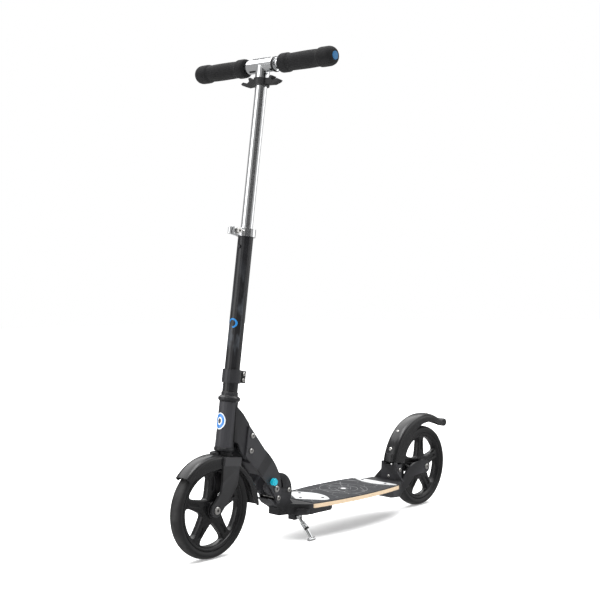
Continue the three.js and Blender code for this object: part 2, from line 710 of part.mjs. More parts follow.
function gripSheet(z0, z1) {
  const whole = upZ(deckPlan(deckFront - 3, deckRear + 1, 56.5, deckHalfWidth - 1, 64), z0, z1, 14);
  const room = 2 * clearance;
  return cut(whole, frontPlate(z0 - 1, z1 + 1, room), rearPlate(z0 - 1, z1 + 1, 8));
}

// ---- Rear end ----
function rearBracket() {
  const arm = new THREE.Shape();
  const at = (dx, dz) => [rearAxle + dx, dz];
  arm.moveTo(...at(145, 47));
  arm.lineTo(...at(106, 45));
  arm.lineTo(...at(77, 60));
  arm.lineTo(...at(51, 83));
  arm.quadraticCurveTo(...at(30, wheelRadius - 15), ...at(0, wheelRadius - 15));
  arm.absarc(rearAxle, wheelRadius, 15, rad(270), rad(90), true);
  arm.quadraticCurveTo(...at(38, wheelRadius + 19), ...at(57, wheelRadius + 13));
  arm.lineTo(...at(79, 103));
  arm.lineTo(...at(101, deckTop - 0.3));
  arm.lineTo(...at(118, 77));
  arm.lineTo(...at(145, 77));
  const arms = [-1, 1].map((side) => {
    const [y0, y1] = [side * rearArmInner, side * (rearArmInner + armThickness)].sort((a, b) => a - b);
    return acrossY(arm, y0, y1, 8);
  });
  const side = outline([
    at(217, deckUnder - clearance), at(217, 65), at(183, 50), at(135, 45), at(103, 52),
    at(103, deckTop), at(deckTail - clearance, deckTop), at(deckTail - clearance, deckUnder - clearance),
  ]);
  const plan = outline([
    at(218, -44), at(173, -50), at(135, -44), at(102, -25),
    at(102, 25), at(135, 44), at(173, 50), at(218, 44),
  ]);
  const body = acrossY(side, -60, 60).intersect(upZ(plan, 40, 90));
  const wing = outline([[23.3, deckTop - 1], [44, deckTop - 1], [23.3, 103]]);
  const wings = [
    alongX(wing, rearAxle + 122, rearAxle + 126),
    alongX(outline([[-23.3, deckTop - 1], [-23.3, 103], [-44, deckTop - 1]]), rearAxle + 122, rearAxle + 126),
  ];
  const axleHole = rodY(axleRadius + clearance, -40, 40, rearAxle, wheelRadius, 20);
  return cut(joined(body, ...arms, ...wings), axleHole);
}

function fenderMount() {
  const base = deckTop + clearance;
  const block = box(rearAxle + 104, rearAxle + 126, -23, 23, base, 117);
  const posts = [
    box(rearAxle + 122.5, rearAxle + 126, -23, -14.5, 116, 123.4),
    box(rearAxle + 122.5, rearAxle + 126, 14.5, 23, 116, 123.4),
  ];
  const slot = box(rearAxle + 100, rearAxle + 122.5, -14.5, 14.5, base + 6, 120);
  const pinHole = rodY(2.8, -40, 40, rearAxle + brakeHingeAhead, brakeHingeHeight, 16);
  return cut(joined(block, ...posts), slot, pinHole);
}

function fenderHingePin() {
  return throughBolt(2.5, 4.5, 23.3, rearAxle + brakeHingeAhead, brakeHingeHeight);
}

function rearAxleBolt() {
  const bolt = throughBolt(axleRadius, 7, rearArmInner + armThickness + clearance, rearAxle, wheelRadius);
  const spacers = [-1, 1].map((side) => {
    const ends = [side * (hubHalf + clearance), side * (rearArmInner - clearance)];
    const [y0, y1] = ends.sort((a, b) => a - b);
    return rodY(6.5, y0, y1, rearAxle, wheelRadius);
  });
  return joined(bolt, ...spacers);
}

const brakeRise = 32;

function brakeFender() {
  const gap = (degrees, rise) => [degrees, wheelRadius + rise];
  const crown = [
    gap(11, brakeRise), gap(40, brakeRise), gap(75, brakeRise - 1),
    gap(105, brakeRise + 1), gap(122, brakeRise + 5), gap(135, brakeRise + 13),
  ];
  const skirt = [[11, 88], [25, 88], [47, 93], [61, 100], [82, 107], [105, 113], [123, 118], [135.5, 133]];
  const shell = mudguard(crown, skirt, 19, 2.4, 9, 60, 12);
  const hinge = [brakeHingeAhead, brakeHingeHeight - wheelRadius];
  const tongue = new THREE.Shape();
  tongue.moveTo(hinge[0] - 8, hinge[1]);
  tongue.absarc(hinge[0], hinge[1], 8, Math.PI, tau, false);
  tongue.lineTo(hinge[0] + 8, 17);
  tongue.lineTo(129.5, 24);
  tongue.lineTo(126, 42);
  tongue.lineTo(118, 44);
  const roll = rodY(10, -11, 11, -101, 100.5, 24);
  const rivetHole = rodZ(2.4, 100, 145, brakeRivet.x, 0, 12);
  const whole = joined(shell, acrossY(tongue, -14.1, 14.1), roll);
  const open = cut(whole, rodY(2.9, -30, 30, ...hinge, 16), box(90, 140, -6, 6, -10, 19), rivetHole);
  return open.translate([rearAxle, 0, wheelRadius]);
}

const brakeRivet = { x: -30 };

function brakePad() {
  const inner = wheelRadius + 19;
  const outer = wheelRadius + brakeRise - 3.8;
  const shape = new THREE.Shape();
  shape.absarc(0, 0, outer, rad(94), rad(114), false);
  shape.absarc(0, 0, inner, rad(114), rad(94), true);
  const hole = rodZ(2.4, 100, 145, brakeRivet.x, 0, 12);
  return cut(acrossY(shape, -12, 12, 6), hole).translate([rearAxle, 0, wheelRadius]);
}

function brakeRivetPin() {
  const skin = wheelRadius + brakeRise;
  const top = Math.sqrt(skin * skin - brakeRivet.x * brakeRivet.x) + 1.4;
  const low = wheelRadius + 22;
  const profile = [[0, low], [2.1, low], [2.1, top], [5, top], [4, top + 1.8], [0, top + 2.4]];
  return turnedZ(profile, 16).translate([rearAxle + brakeRivet.x, 0, wheelRadius]);
}

// The return spring is coiled round the hinge pin, inside the tongue's notch.
function brakeSpring() {
  class Coil extends THREE.Curve {
    getPoint(t, target = new THREE.Vector3()) {
      const turn = t * tau * 4;
      return target.set(4.6 * Math.cos(turn), -4.6 + 9.2 * t, 4.6 * Math.sin(turn));
    }
  }
  const wire = new THREE.Shape().absarc(0, 0, 0.7, 0, tau, false);
  const coil = new THREE.ExtrudeGeometry(wire, { steps: 36, extrudePath: new Coil(), curveSegments: 2 });
  return solid(coil.translate(rearAxle + brakeHingeAhead, 0, brakeHingeHeight));
}

// ---- Kickstand ----
function kickstandBoss() {
  const { x, z } = kickstandHinge;
  const top = deckUnder - 13 - clearance;
  const block = box(x - 10, x + 10, 6, 24.6, z - 7, top);
  return cut(block, rodY(3.3, 8, 40, x, z, 16));
}

function kickstand() {
  const { x, y, z } = kickstandHinge;
  const slope = Math.tan(rad(parkedLean));
  const footRadius = 4;
  const footHeight = kickstandReach * slope + footRadius - 0.8;
  const hub = rodY(6.6, 25, 33, x, z, 20);
  const pin = rodY(3, 10, 27, x, z, 16);
  const line = new THREE.CatmullRomCurve3([
    new THREE.Vector3(x, y, z),
    new THREE.Vector3(x - 3, y + 11, z - 17),
    new THREE.Vector3(x - 6, kickstandReach - 8, footHeight + 12),
    new THREE.Vector3(x - 7, kickstandReach, footHeight),
  ]);
  const section = new THREE.Shape().absarc(0, 0, 3.8, 0, tau, false);
  const rod = solid(new THREE.ExtrudeGeometry(section, { steps: 8, extrudePath: line, curveSegments: 5 }));
  const foot = rodX(footRadius, x - 16, x + 3, kickstandReach, footHeight, 16);
  const ground = solid(new THREE.BoxGeometry(200, 300, 40).translate(x, 0, -20).rotateX(rad(parkedLean)));
  return cut(joined(hub, pin, rod, foot), ground);
}

// ---- Assembly ----
const sheetLow = deckTop + clearance;
const board = deckPlan(deckFront - clearance, deckRear, 58, deckHalfWidth, 65);
const rearWheel = wheel("rear");
rearWheel.position.set(rearAxle, 0, wheelRadius);

const deck = group(
  "deck",
  mesh("deck_board", upZ(board, deckUnder, deckTop, 16), finish(0xd8b98c, 0.6, 0)),
  mesh("grip_sheet", gripSheet(sheetLow, sheetLow + gripThickness), finish(0x3d3e41, 0.9, 0)),
  mesh("front_plate", frontPlate(sheetLow, sheetLow + plateThickness), chrome()),
  mesh("rear_plate", rearPlate(sheetLow, sheetLow + plateThickness), chrome()),
  mesh("nose_casting", noseCasting(), satinBlack()),
  mesh("cheek_bolt", throughBolt(3, 5, cheekHalf + clearance, cheekBoltAt.x, cheekBoltAt.z), steel()),
  mesh("pivot_bolt", throughBolt(5, 7, plateOuter + clearance, foldPivot.x, foldPivot.z), steel()),
  mesh("rear_bracket", rearBracket(), satinBlack()),
  mesh("fender_mount", fenderMount(), black()),
  mesh("fender_hinge_pin", fenderHingePin(), steel()),
  mesh("rear_axle", rearAxleBolt(), steel()),
  mesh("kickstand_boss", kickstandBoss(), black()),
  mesh("brake_spring", brakeSpring(), steel()),
  group("stand", mesh("kickstand", kickstand(), steel())),
  group(
    "brake",
    mesh("brake_fender", brakeFender(), plasticBlack()),
    mesh("brake_pad", brakePad(), rubberBlack()),
    mesh("brake_rivet", brakeRivetPin(), steel()),
  ),
  rearWheel,
);

const steeringGroup = steering();
steeringGroup.position.set(-forkOffset, 0, wheelRadius);
steeringGroup.rotation.y = -rad(headAngle);

const upright = group("upright", deck, neck(), steeringGroup);
upright.rotation.x = -rad(parkedLean);
const scooter = group("kick_scooter", upright);
scooter.updateMatrixWorld(true);
const bounds = new THREE.Box3().setFromObject(scooter, true);
const middle = bounds.getCenter(new THREE.Vector3());
upright.position.set(-middle.x, -middle.y, -bounds.min.z);

export default scooter;
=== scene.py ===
"""Folding kick scooter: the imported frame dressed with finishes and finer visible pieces.

Lengths are in metres. Sub-assemblies are laid out in the scooter's own upright frame, whose origin is
on the floor line under the front axle, or in the steering frame, whose Z runs up the steering axis.
"""

import json
import logging
import math
from dataclasses import dataclass
from enum import Enum
from typing import Any, Callable, Iterable, Sequence

import bmesh
import bpy
from mathutils import Matrix, Quaternion, Vector


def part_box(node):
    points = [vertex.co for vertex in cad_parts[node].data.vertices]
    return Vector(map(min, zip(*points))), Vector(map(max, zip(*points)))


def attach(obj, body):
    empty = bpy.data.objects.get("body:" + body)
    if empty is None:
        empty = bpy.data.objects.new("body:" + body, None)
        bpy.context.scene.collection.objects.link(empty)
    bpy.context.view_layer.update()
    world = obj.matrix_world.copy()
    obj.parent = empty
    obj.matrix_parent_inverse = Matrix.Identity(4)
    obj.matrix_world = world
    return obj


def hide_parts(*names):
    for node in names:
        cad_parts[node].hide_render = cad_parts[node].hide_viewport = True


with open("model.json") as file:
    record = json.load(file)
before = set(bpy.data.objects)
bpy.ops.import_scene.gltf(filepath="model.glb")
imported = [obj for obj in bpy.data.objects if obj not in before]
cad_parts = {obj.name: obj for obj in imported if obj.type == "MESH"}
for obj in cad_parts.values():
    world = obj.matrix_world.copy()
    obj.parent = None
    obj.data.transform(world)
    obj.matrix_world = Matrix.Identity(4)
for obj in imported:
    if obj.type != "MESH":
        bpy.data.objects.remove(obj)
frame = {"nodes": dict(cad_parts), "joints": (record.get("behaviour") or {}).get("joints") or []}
LOG = logging.getLogger("kick_scooter")
MM = 0.001
TAU = math.tau
Point = tuple[float, float]
Placer = Callable[[float, float, float], Vector]
Colour = tuple[float, float, float]


# ---------------------------------------------------------------- shader bench
def operator(operation: str, reflected: bool = False) -> Callable[..., "Wire"]:
    """Returns a method that works out one Math node from its values.

    Args:
        operation: The node's operation.
        reflected: Whether the other value comes first.
    """
    def method(own: "Wire", *others: Any) -> "Wire":
        """Returns the node's result."""
        values = (*others, own) if reflected else (own, *others)
        return own.bench.node("ShaderNodeMath", {"operation": operation}, dict(enumerate(values)))

    return method


@dataclass(frozen=True)
class Wire:
    """A socket that takes part in arithmetic; each operation adds a Math node."""

    bench: "Bench"
    socket: bpy.types.NodeSocket

    __add__ = operator("ADD")
    __radd__ = operator("ADD", reflected=True)
    __sub__ = operator("SUBTRACT")
    __rsub__ = operator("SUBTRACT", reflected=True)
    __mul__ = operator("MULTIPLY")
    __rmul__ = operator("MULTIPLY", reflected=True)
    __abs__ = operator("ABSOLUTE")
    __gt__ = operator("GREATER_THAN")


class Bench:
    """One material's node tree and the ways to add to it."""

    def __init__(self, name: str) -> None:
        """Makes the material and its Principled shader.

        Args:
            name: The material's name.
        """
        self.material = bpy.data.materials.new(name)
        self.material.use_nodes = True
        self.tree = self.material.node_tree
        self.shader = self.tree.nodes["Principled BSDF"]

    def node(self, kind: str, settings: dict[str, Any], inputs: dict[Any, Any], output: Any = 0) -> Wire:
        """Adds a node.

        Args:
            kind: The node's type.
            settings: Its options; "stops" holds a colour ramp's places and colours.
            inputs: Values or wires by socket name or number.
            output: The socket that is handed back.

        Returns:
            The chosen output.
        """
        made = self.tree.nodes.new(kind)
        for key, value in settings.items():
            if key == "stops":
                self._set_stops(made.color_ramp, value)
            else:
                setattr(made, key, value)
        for key, value in inputs.items():
            self.plug(made.inputs[key], value)
        return Wire(self, made.outputs[output])

    @staticmethod
    def _set_stops(ramp: bpy.types.ColorRamp, stops: Sequence[tuple[float, Colour]]) -> None:
        """Writes a ramp's stops, given as places and colours."""
        while len(ramp.elements) < len(stops):
            ramp.elements.new(0.5)
        for element, (place, colour) in zip(ramp.elements, stops):
            element.position = place
            element.color = (*colour, 1.0)

    def plug(self, socket: bpy.types.NodeSocket, value: Any) -> None:
        """Links a wire to a socket, or sets the socket's value."""
        if isinstance(value, Wire):
            self.tree.links.new(value.socket, socket)
        elif isinstance(value, tuple) and socket.type == "RGBA" and len(value) == 3:
            socket.default_value = (*value, 1.0)
        else:
            socket.default_value = value

    def set(self, **values: Any) -> None:
        """Sets or links the shader's sockets; an underscore in a name stands for a space."""
        for key, value in values.items():
            self.plug(self.shader.inputs[key.replace("_", " ")], value)

    def place(self) -> Wire:
        """Returns the rest position of the surface point, in metres."""
        return self.node("ShaderNodeTexCoord", {}, {}, "Object")

    def vector(self, operation: str, first: Any, second: Any, output: Any = 0) -> Wire:
        """Returns the result of one Vector Math node.

        Args:
            operation: The node's operation.
            first: Its first vector.
            second: Its second vector.
            output: The socket that is handed back.
        """
        return self.node("ShaderNodeVectorMath", {"operation": operation}, {0: first, 1: second}, output)

    def reach(self, across: Wire, up: Wire) -> Wire:
        """Returns how far a point of a plane, given by two coordinates, lies from the plane's middle."""
        flat = self.node("ShaderNodeCombineXYZ", {}, {"X": across, "Y": up})
        return self.node("ShaderNodeVectorMath", {"operation": "LENGTH"}, {0: flat}, "Value")

    def along(self, direction: Vector, origin: Vector) -> Wire:
        """Returns how far the point lies along a direction from an origin."""
        shifted = self.vector("SUBTRACT", self.place(), tuple(origin))
        return self.vector("DOT_PRODUCT", shifted, tuple(direction), "Value")

    def noise(self, scale: float, detail: float = 3.0, stretch: Sequence[float] = (1.0, 1.0, 1.0)) -> Wire:
        """Returns noise of 0 to 1.

        Args:
            scale: Cells per metre.
            detail: Octaves.
            stretch: How much each axis is scaled first.
        """
        spread = self.vector("MULTIPLY", self.place(), tuple(stretch))
        inputs = {"Vector": spread, "Scale": scale, "Detail": detail}
        return self.node("ShaderNodeTexNoise", {}, inputs, "Fac")

    def mix(self, share: Any, first: Any, second: Any) -> Wire:
        """Returns a colour between two others."""
        return self.node("ShaderNodeMix", {"data_type": "RGBA"}, {0: share, 6: first, 7: second}, 2)

    def band(self, value: Wire, stops: Sequence[tuple[float, float]]) -> Wire:
        """Returns a grey ramp of a value, given as places and levels."""
        colours = [(place, (level, level, level)) for place, level in stops]
        return self.node("ShaderNodeValToRGB", {"stops": colours}, {"Fac": value})

    def wear(self, edge: float) -> Wire:
        """Returns 1 on sharp outer edges and 0 elsewhere; edge is the pointiness where wear starts."""
        point = self.node("ShaderNodeNewGeometry", {}, {}, "Pointiness")
        return self.band(point, [(edge, 0.0), (min(edge + 0.06, 1.0), 1.0)])

    def relief(self, height: Wire, depth: float, edge: float = 0.0) -> None:
        """Feeds a bump, over edges rounded by a small radius, to the shader's normal.

        Args:
            height: The height pattern, 0 to 1.
            depth: What a height of 1 is in metres.
            edge: Radius of the rounded edges; 0 leaves them.
        """
        inputs = {"Strength": 1.0, "Distance": depth, "Height": height}
        if edge:
            inputs["Normal"] = self.node("ShaderNodeBevel", {"samples": 4}, {"Radius": edge})
        self.set(Normal=self.node("ShaderNodeBump", {}, inputs))


# ---------------------------------------------------------------- finishes
@dataclass(frozen=True)
class Finish:
    """A finish: fixed values on the shader's sockets and the patterns of its kind."""

    name: str
    colour: Colour
    roughness: float = 0.4
    metallic: float = 0.0
    edge: float = 0.0004

    def material(self) -> bpy.types.Material:
        """Returns the finish as a material, made once."""
        known = bpy.data.materials.get(self.name)
        if known:
            return known
        bench = Bench(self.name)
        bench.set(Base_Color=self.colour, Roughness=self.roughness, Metallic=self.metallic)
        self.paint(bench)
        return bench.material

    def paint(self, bench: Bench) -> None:
        """Adds the finish's own patterns; each kind of finish has its own."""

    def shade(self, factor: float) -> Colour:
        """Returns the base colour scaled."""
        red, green, blue = self.colour
        return (min(red * factor, 1.0), min(green * factor, 1.0), min(blue * factor, 1.0))


@dataclass(frozen=True)
class PowderCoat(Finish):
    """Baked satin coat on cast or pressed alloy, with a fine orange peel."""

    def paint(self, bench: Bench) -> None:
        """Adds patchy gloss, light rubbed edges and the orange peel."""
        cloud = bench.noise(35.0, 4.0)
        peel = bench.noise(900.0, 2.0)
        colour = bench.mix(cloud, self.shade(0.8), self.shade(1.25))
        bench.set(Base_Color=bench.mix(bench.wear(0.56), colour, self.shade(2.6)))
        bench.set(Roughness=self.roughness - 0.07 + 0.12 * cloud)
        bench.set(Specular_IOR_Level=0.32)
        bench.relief(peel, 0.00003, self.edge)


@dataclass(frozen=True)
class Chrome(Finish):
    """Polished plating with faint wiping marks."""

    grain: tuple[float, float, float] = (1.0, 1.0, 1.0)

    def paint(self, bench: Bench) -> None:
        """Adds faint smears and hairline marks."""
        smear = bench.noise(28.0, 5.0, self.grain)
        hair = bench.noise(420.0, 2.0, self.grain)
        bench.set(Base_Color=bench.mix(smear, self.shade(0.93), self.shade(1.04)))
        wiped = bench.band(smear, [(0.45, 0.0), (0.75, 1.0)])
        bench.set(Roughness=self.roughness + 0.05 * wiped + 0.02 * hair)
        if self.edge:
            bench.set(Normal=bench.node("ShaderNodeBevel", {"samples": 4}, {"Radius": self.edge}))


@dataclass(frozen=True)
class Steel(Finish):
    """Zinc-plated or turned steel."""

    def paint(self, bench: Bench) -> None:
        """Adds turning marks, uneven plating and painted shade that darkens the hollows."""
        cloud = bench.noise(120.0, 4.0)
        fine = bench.noise(1600.0, 2.0)
        point = bench.node("ShaderNodeNewGeometry", {}, {}, "Pointiness")
        # painted shade: concave hollows are darkened in the colour
        painted_hollow_shade = bench.band(point, [(0.42, 1.0), (0.5, 0.0)])
        colour = bench.mix(cloud, self.shade(0.82), self.shade(1.1))
        bench.set(Base_Color=bench.mix(painted_hollow_shade, colour, self.shade(0.25)))
        bench.set(Roughness=self.roughness - 0.05 + 0.14 * cloud)
        bench.relief(fine, 0.000006, self.edge)


@dataclass(frozen=True)
class Moulded(Finish):
    """Injection-moulded plastic with a spark-eroded grain."""

    grain: float = 1400.0
    depth: float = 0.00002

    def paint(self, bench: Bench) -> None:
        """Adds the grain, flow shading and lightly scuffed edges."""
        flow = bench.noise(16.0, 3.0)
        grain = bench.noise(self.grain, 1.0)
        colour = bench.mix(flow, self.shade(0.85), self.shade(1.2))
        bench.set(Base_Color=bench.mix(bench.wear(0.57), colour, self.shade(2.0)))
        bench.set(Roughness=self.roughness - 0.05 + 0.1 * flow, Specular_IOR_Level=0.36)
        bench.relief(grain, self.depth, self.edge)


@dataclass(frozen=True)
class TyreRubber(Finish):
    """Cast polyurethane: a soft sheen, a trace of dust and fine scuffs where it rolls."""

    centre: tuple[float, float, float] = (0.0, 0.0, 0.0)

    def paint(self, bench: Bench) -> None:
        """Adds dust near the tread, round scuffs and a fine skin."""
        cloud = bench.noise(60.0, 5.0)
        skin = bench.noise(700.0, 3.0)
        out = bench.vector("SUBTRACT", bench.place(), self.centre)
        reach = bench.node("ShaderNodeVectorMath", {"operation": "LENGTH"}, {0: out}, "Value")
        tread = bench.band(reach, [(0.0965, 0.0), (0.0995, 1.0)])
        dust = bench.band(cloud, [(0.42, 0.0), (0.7, 1.0)])
        plain = bench.mix(cloud, self.shade(0.8), self.shade(1.2))
        bench.set(Base_Color=bench.mix(tread * (0.1 + 0.2 * dust), plain, (0.1, 0.097, 0.094)))
        bench.set(Roughness=self.roughness + 0.2 * tread + 0.08 * cloud, Specular_IOR_Level=0.28)
        bench.relief(skin, 0.00004)


@dataclass(frozen=True)
class Foam(Finish):
    """Closed-cell foam with open pores at its cut skin."""

    def paint(self, bench: Bench) -> None:
        """Adds pores, a mottled tone and a soft sheen."""
        pores = bench.node("ShaderNodeTexVoronoi", {}, {"Vector": bench.place(), "Scale": 850.0}, "Distance")
        cloud = bench.noise(90.0, 4.0)
        bench.set(Base_Color=bench.mix(cloud, self.shade(0.6), self.shade(1.6)))
        bench.set(Roughness=self.roughness - 0.06 + 0.1 * cloud)
        bench.set(Sheen_Weight=0.03, Sheen_Roughness=0.6, Specular_IOR_Level=0.14)
        bench.relief(bench.band(pores, [(0.1, 0.0), (0.5, 1.0)]) + 0.6 * cloud, 0.00025)


@dataclass(frozen=True)
class Plywood(Finish):
    """Maple ply: the edge shows its plies, the faces their long grain under a clear coat."""

    up: tuple[float, float, float] = (0.0, 0.0, 1.0)
    foot: tuple[float, float, float] = (0.0, 0.0, 0.0)
    thickness: float = 0.0095
    plies: int = 7

    def paint(self, bench: Bench) -> None:
        """Adds alternate plies, glue lines, grain and pores."""
        height = bench.along(Vector(self.up), Vector(self.foot)) * (self.plies / self.thickness)
        odd = bench.node("ShaderNodeMath", {"operation": "PINGPONG"}, {0: height, 1: 1.0})
        layer = bench.band(odd, [(0.44, 0.0), (0.56, 1.0)])
        glue = bench.band(abs(odd - 0.5), [(0.0, 1.0), (0.05, 0.0)])
        grain = bench.noise(60.0, 5.0, (1.0, 9.0, 9.0))
        streak = bench.band(grain, [(0.35, 0.0), (0.62, 1.0)])
        face = bench.mix(streak, self.colour, self.shade(0.86))
        edge = bench.mix(layer, face, self.shade(0.84))
        level = bench.along(Vector(self.up), Vector(self.foot)) * (1 / self.thickness)
        film = bench.band(abs(level - 0.5), [(0.455, 0.0), (0.465, 1.0)])
        bench.set(Base_Color=bench.mix(film, bench.mix(glue, edge, (0.42, 0.31, 0.2)), (0.016, 0.016, 0.017)))
        bench.set(Roughness=self.roughness - 0.05 + 0.15 * grain)
        bench.set(Coat_Weight=0.25, Coat_Roughness=0.3)
        bench.relief(grain, 0.00005, self.edge)


@dataclass(frozen=True)
class GripTape(Finish):
    """Gritted grip sheet printed tone on tone with plain rings, lines and dots."""

    across: tuple[float, float, float] = (0.0, 1.0, 0.0)
    middle: tuple[float, float, float] = (0.0, 0.0, 0.0)

    def paint(self, bench: Bench) -> None:
        """Adds grit, a worn patch, faint line work and one pale dot."""
        grit = bench.node("ShaderNodeTexVoronoi", {}, {"Vector": bench.place(), "Scale": 1500.0}, "Distance")
        cloud = bench.noise(22.0, 5.0)
        x = bench.along(Vector((1.0, 0.0, 0.0)), Vector(self.middle))
        y = bench.along(Vector(self.across), Vector(self.middle))
        flat = bench.node("ShaderNodeCombineXYZ", {}, {"X": x, "Y": y})
        reach = bench.reach(x, y)
        ripple = bench.node("ShaderNodeMath", {"operation": "PINGPONG"}, {0: reach * 90.0, 1: 1.0})
        rings = bench.band(ripple, [(0.9, 0.0), (0.95, 1.0)])
        near = bench.band(reach, [(0.055, 1.0), (0.075, 0.0)])
        net = {"Vector": flat, "Scale": 32.0}
        cells = bench.node("ShaderNodeTexVoronoi", {"feature": "DISTANCE_TO_EDGE"}, net, "Distance")
        lines = bench.band(cells, [(0.02, 1.0), (0.035, 0.0)])
        patchy = bench.band(cloud, [(0.44, 0.0), (0.56, 1.0)])
        layers = {0: rings * near, 1: lines * patchy}
        print_mask = bench.node("ShaderNodeMath", {"operation": "MAXIMUM"}, layers)
        dot = bench.band(reach, [(0.0066, 1.0), (0.0072, 0.0)])
        plain = bench.mix(cloud, self.shade(0.85), self.shade(1.2))
        printed = bench.mix(print_mask * 0.42, plain, (0.3, 0.3, 0.305))
        bench.set(Base_Color=bench.mix(dot, printed, (0.8, 0.8, 0.8)))
        bench.set(Roughness=self.roughness - 0.05 + 0.1 * cloud, Specular_IOR_Level=0.15)
        bench.relief(bench.band(grit, [(0.1, 1.0), (0.6, 0.0)]), 0.00018)


@dataclass(frozen=True)
class PrintedTube(Finish):
    """Satin black tube with a tone-on-tone print along its front and a small blue ring."""

    axis: tuple[float, float, float] = (0.0, 0.0, 1.0)
    side: tuple[float, float, float] = (0.0, 1.0, 0.0)
    ahead: tuple[float, float, float] = (1.0, 0.0, 0.0)
    foot: tuple[float, float, float] = (0.0, 0.0, 0.0)
    ring_rise: float = 0.375
    ring_side: float = 0.002

    def paint(self, bench: Bench) -> None:
        """Adds the brushed print, the ring and the coat's own peel."""
        rise = bench.along(Vector(self.axis), Vector(self.foot))
        side = bench.along(Vector(self.side), Vector(self.foot))
        ahead = bench.along(Vector(self.ahead), Vector(self.foot))
        front = ahead > 0.002
        reach = bench.reach(rise - self.ring_rise, side - self.ring_side)
        ring = bench.band(abs(reach - 0.0085) * 100.0, [(0.15, 1.0), (0.19, 0.0)])
        open_side = bench.band(side * 50.0 + (rise - self.ring_rise) * 50.0 + 0.5, [(0.22, 0.0), (0.26, 1.0)])
        smudge = bench.noise(55.0, 3.0, (1.0, 1.0, 0.35))
        reach_up = bench.band(rise, [(0.284, 0.0), (0.29, 1.0), (0.4, 0.8), (0.52, 0.0)])
        marks = bench.band(smudge, [(0.5, 0.0), (0.6, 1.0)]) * reach_up
        cloud = bench.noise(45.0, 4.0)
        peel = bench.noise(1100.0, 2.0)
        plain = bench.mix(cloud, self.shade(0.75), self.shade(1.3))
        toned = bench.mix(marks * front * 0.55, plain, (0.07, 0.08, 0.095))
        bench.set(Base_Color=bench.mix(ring * open_side * front, toned, (0.012, 0.17, 0.45)))
        bench.set(Roughness=self.roughness - 0.06 + 0.1 * cloud + 0.08 * marks)
        bench.relief(peel, 0.00002, self.edge)


@dataclass(frozen=True)
class Badge(Finish):
    """Domed badge: plain blue disc, pale ring and dark middle."""

    centre: tuple[float, float, float] = (0.0, 0.0, 0.0)
    axis: tuple[float, float, float] = (0.0, 0.0, 1.0)
    side: tuple[float, float, float] = (0.0, 1.0, 0.0)
    slim: float = 17.0 / 12.0

    def paint(self, bench: Bench) -> None:
        """Adds the rings under a clear dome."""
        rise = bench.along(Vector(self.axis), Vector(self.centre))
        side = bench.along(Vector(self.side), Vector(self.centre))
        reach = bench.reach(rise, side * self.slim)
        grey = bench.noise(300.0, 2.0)
        stops = [
            (0.0, (0.02, 0.02, 0.025)), (0.30, (0.02, 0.02, 0.025)), (0.33, (0.75, 0.78, 0.8)),
            (0.45, (0.75, 0.78, 0.8)), (0.48, self.colour), (0.86, self.colour),
            (0.89, (0.7, 0.72, 0.74)), (1.0, (0.7, 0.72, 0.74)),
        ]
        colour = bench.node("ShaderNodeValToRGB", {"stops": stops}, {"Fac": reach * (1 / 0.0172)})
        bench.set(Base_Color=colour, Roughness=self.roughness + 0.08 * grey)
        bench.set(Coat_Weight=1.0, Coat_Roughness=0.05)


@dataclass(frozen=True)
class ShadowPaintedPlate(PowderCoat):
    """Satin side plate with a painted shadow laid on it as one darker slanting band."""

    along: tuple[float, float, float] = (1.0, 0.0, 0.0)
    start: tuple[float, float, float] = (0.0, 0.0, 0.0)
    width: float = 0.024

    def paint(self, bench: Bench) -> None:
        """Adds the painted shadow band over the coat's own patterns."""
        cloud = bench.noise(35.0, 4.0)
        travel = bench.along(Vector(self.along), Vector(self.start)) * (1 / self.width)
        # painted shadow: the slanting band darkens the plate almost to black
        band = bench.band(travel * 0.5 + 0.25, [(0.24, 0.0), (0.26, 1.0), (0.74, 1.0), (0.76, 0.0)])
        colour = bench.mix(cloud, self.shade(1.5), self.shade(2.1))
        toned = bench.mix(band * 0.9, colour, (0.004, 0.004, 0.005))
        bench.set(Base_Color=bench.mix(bench.wear(0.56), toned, self.shade(2.6)))
        bench.set(Roughness=self.roughness - 0.07 + 0.12 * cloud)
        bench.relief(bench.noise(900.0, 2.0), 0.00003, self.edge)


# ---------------------------------------------------------------- frames
@dataclass(frozen=True)
class Axes:
    """A right-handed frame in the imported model: X ahead, Y to the rider's left."""

    origin: Vector
    ahead: Vector
    left: Vector
    up: Vector

    @classmethod
    def make(cls, origin: Vector, left: Vector, up: Vector) -> "Axes":
        """Returns a frame from its origin, left and up directions."""
        return cls(origin, left.cross(up).normalized(), left.normalized(), up.normalized())

    def matrix(self) -> Matrix:
        """Returns the frame as a matrix from its own millimetres to the model's metres."""
        turn = Matrix((self.ahead, self.left, self.up)).transposed().to_4x4()
        return Matrix.Translation(self.origin) @ turn @ Matrix.Scale(MM, 4)

    def point(self, x: float, y: float, z: float) -> Vector:
        """Returns a point given in the frame's millimetres, in metres."""
        return self.matrix() @ Vector((x, y, z))


def joint(name: str) -> dict[str, Any]:
    """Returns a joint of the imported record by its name."""
    return next(entry for entry in frame["joints"] if entry["name"] == name)


def joint_place(name: str) -> Vector:
    """Returns a joint's place."""
    return Vector(joint(name)["pos_m"])


def joint_axis(name: str) -> Vector:
    """Returns a joint's direction."""
    return Vector(joint(name)["axis"]).normalized()


WHEEL_RADIUS = 100.0
LEFT = joint_axis("front_wheel_spin")
UPWARD = Vector((1.0, 0.0, 0.0)).cross(LEFT).normalized()
UPRIGHT = Axes.make(joint_place("front_wheel_spin") - UPWARD * WHEEL_RADIUS * MM, LEFT, UPWARD)
STEER_UP = joint_axis("steering_turn")
STEERING = Axes.make(joint_place("steering_turn") - STEER_UP * 160.0 * MM, LEFT, STEER_UP)


# ---------------------------------------------------------------- finishes of this scooter
def row(vector: Vector) -> tuple[float, float, float]:
    """Returns a vector as a plain tuple."""
    return (vector.x, vector.y, vector.z)


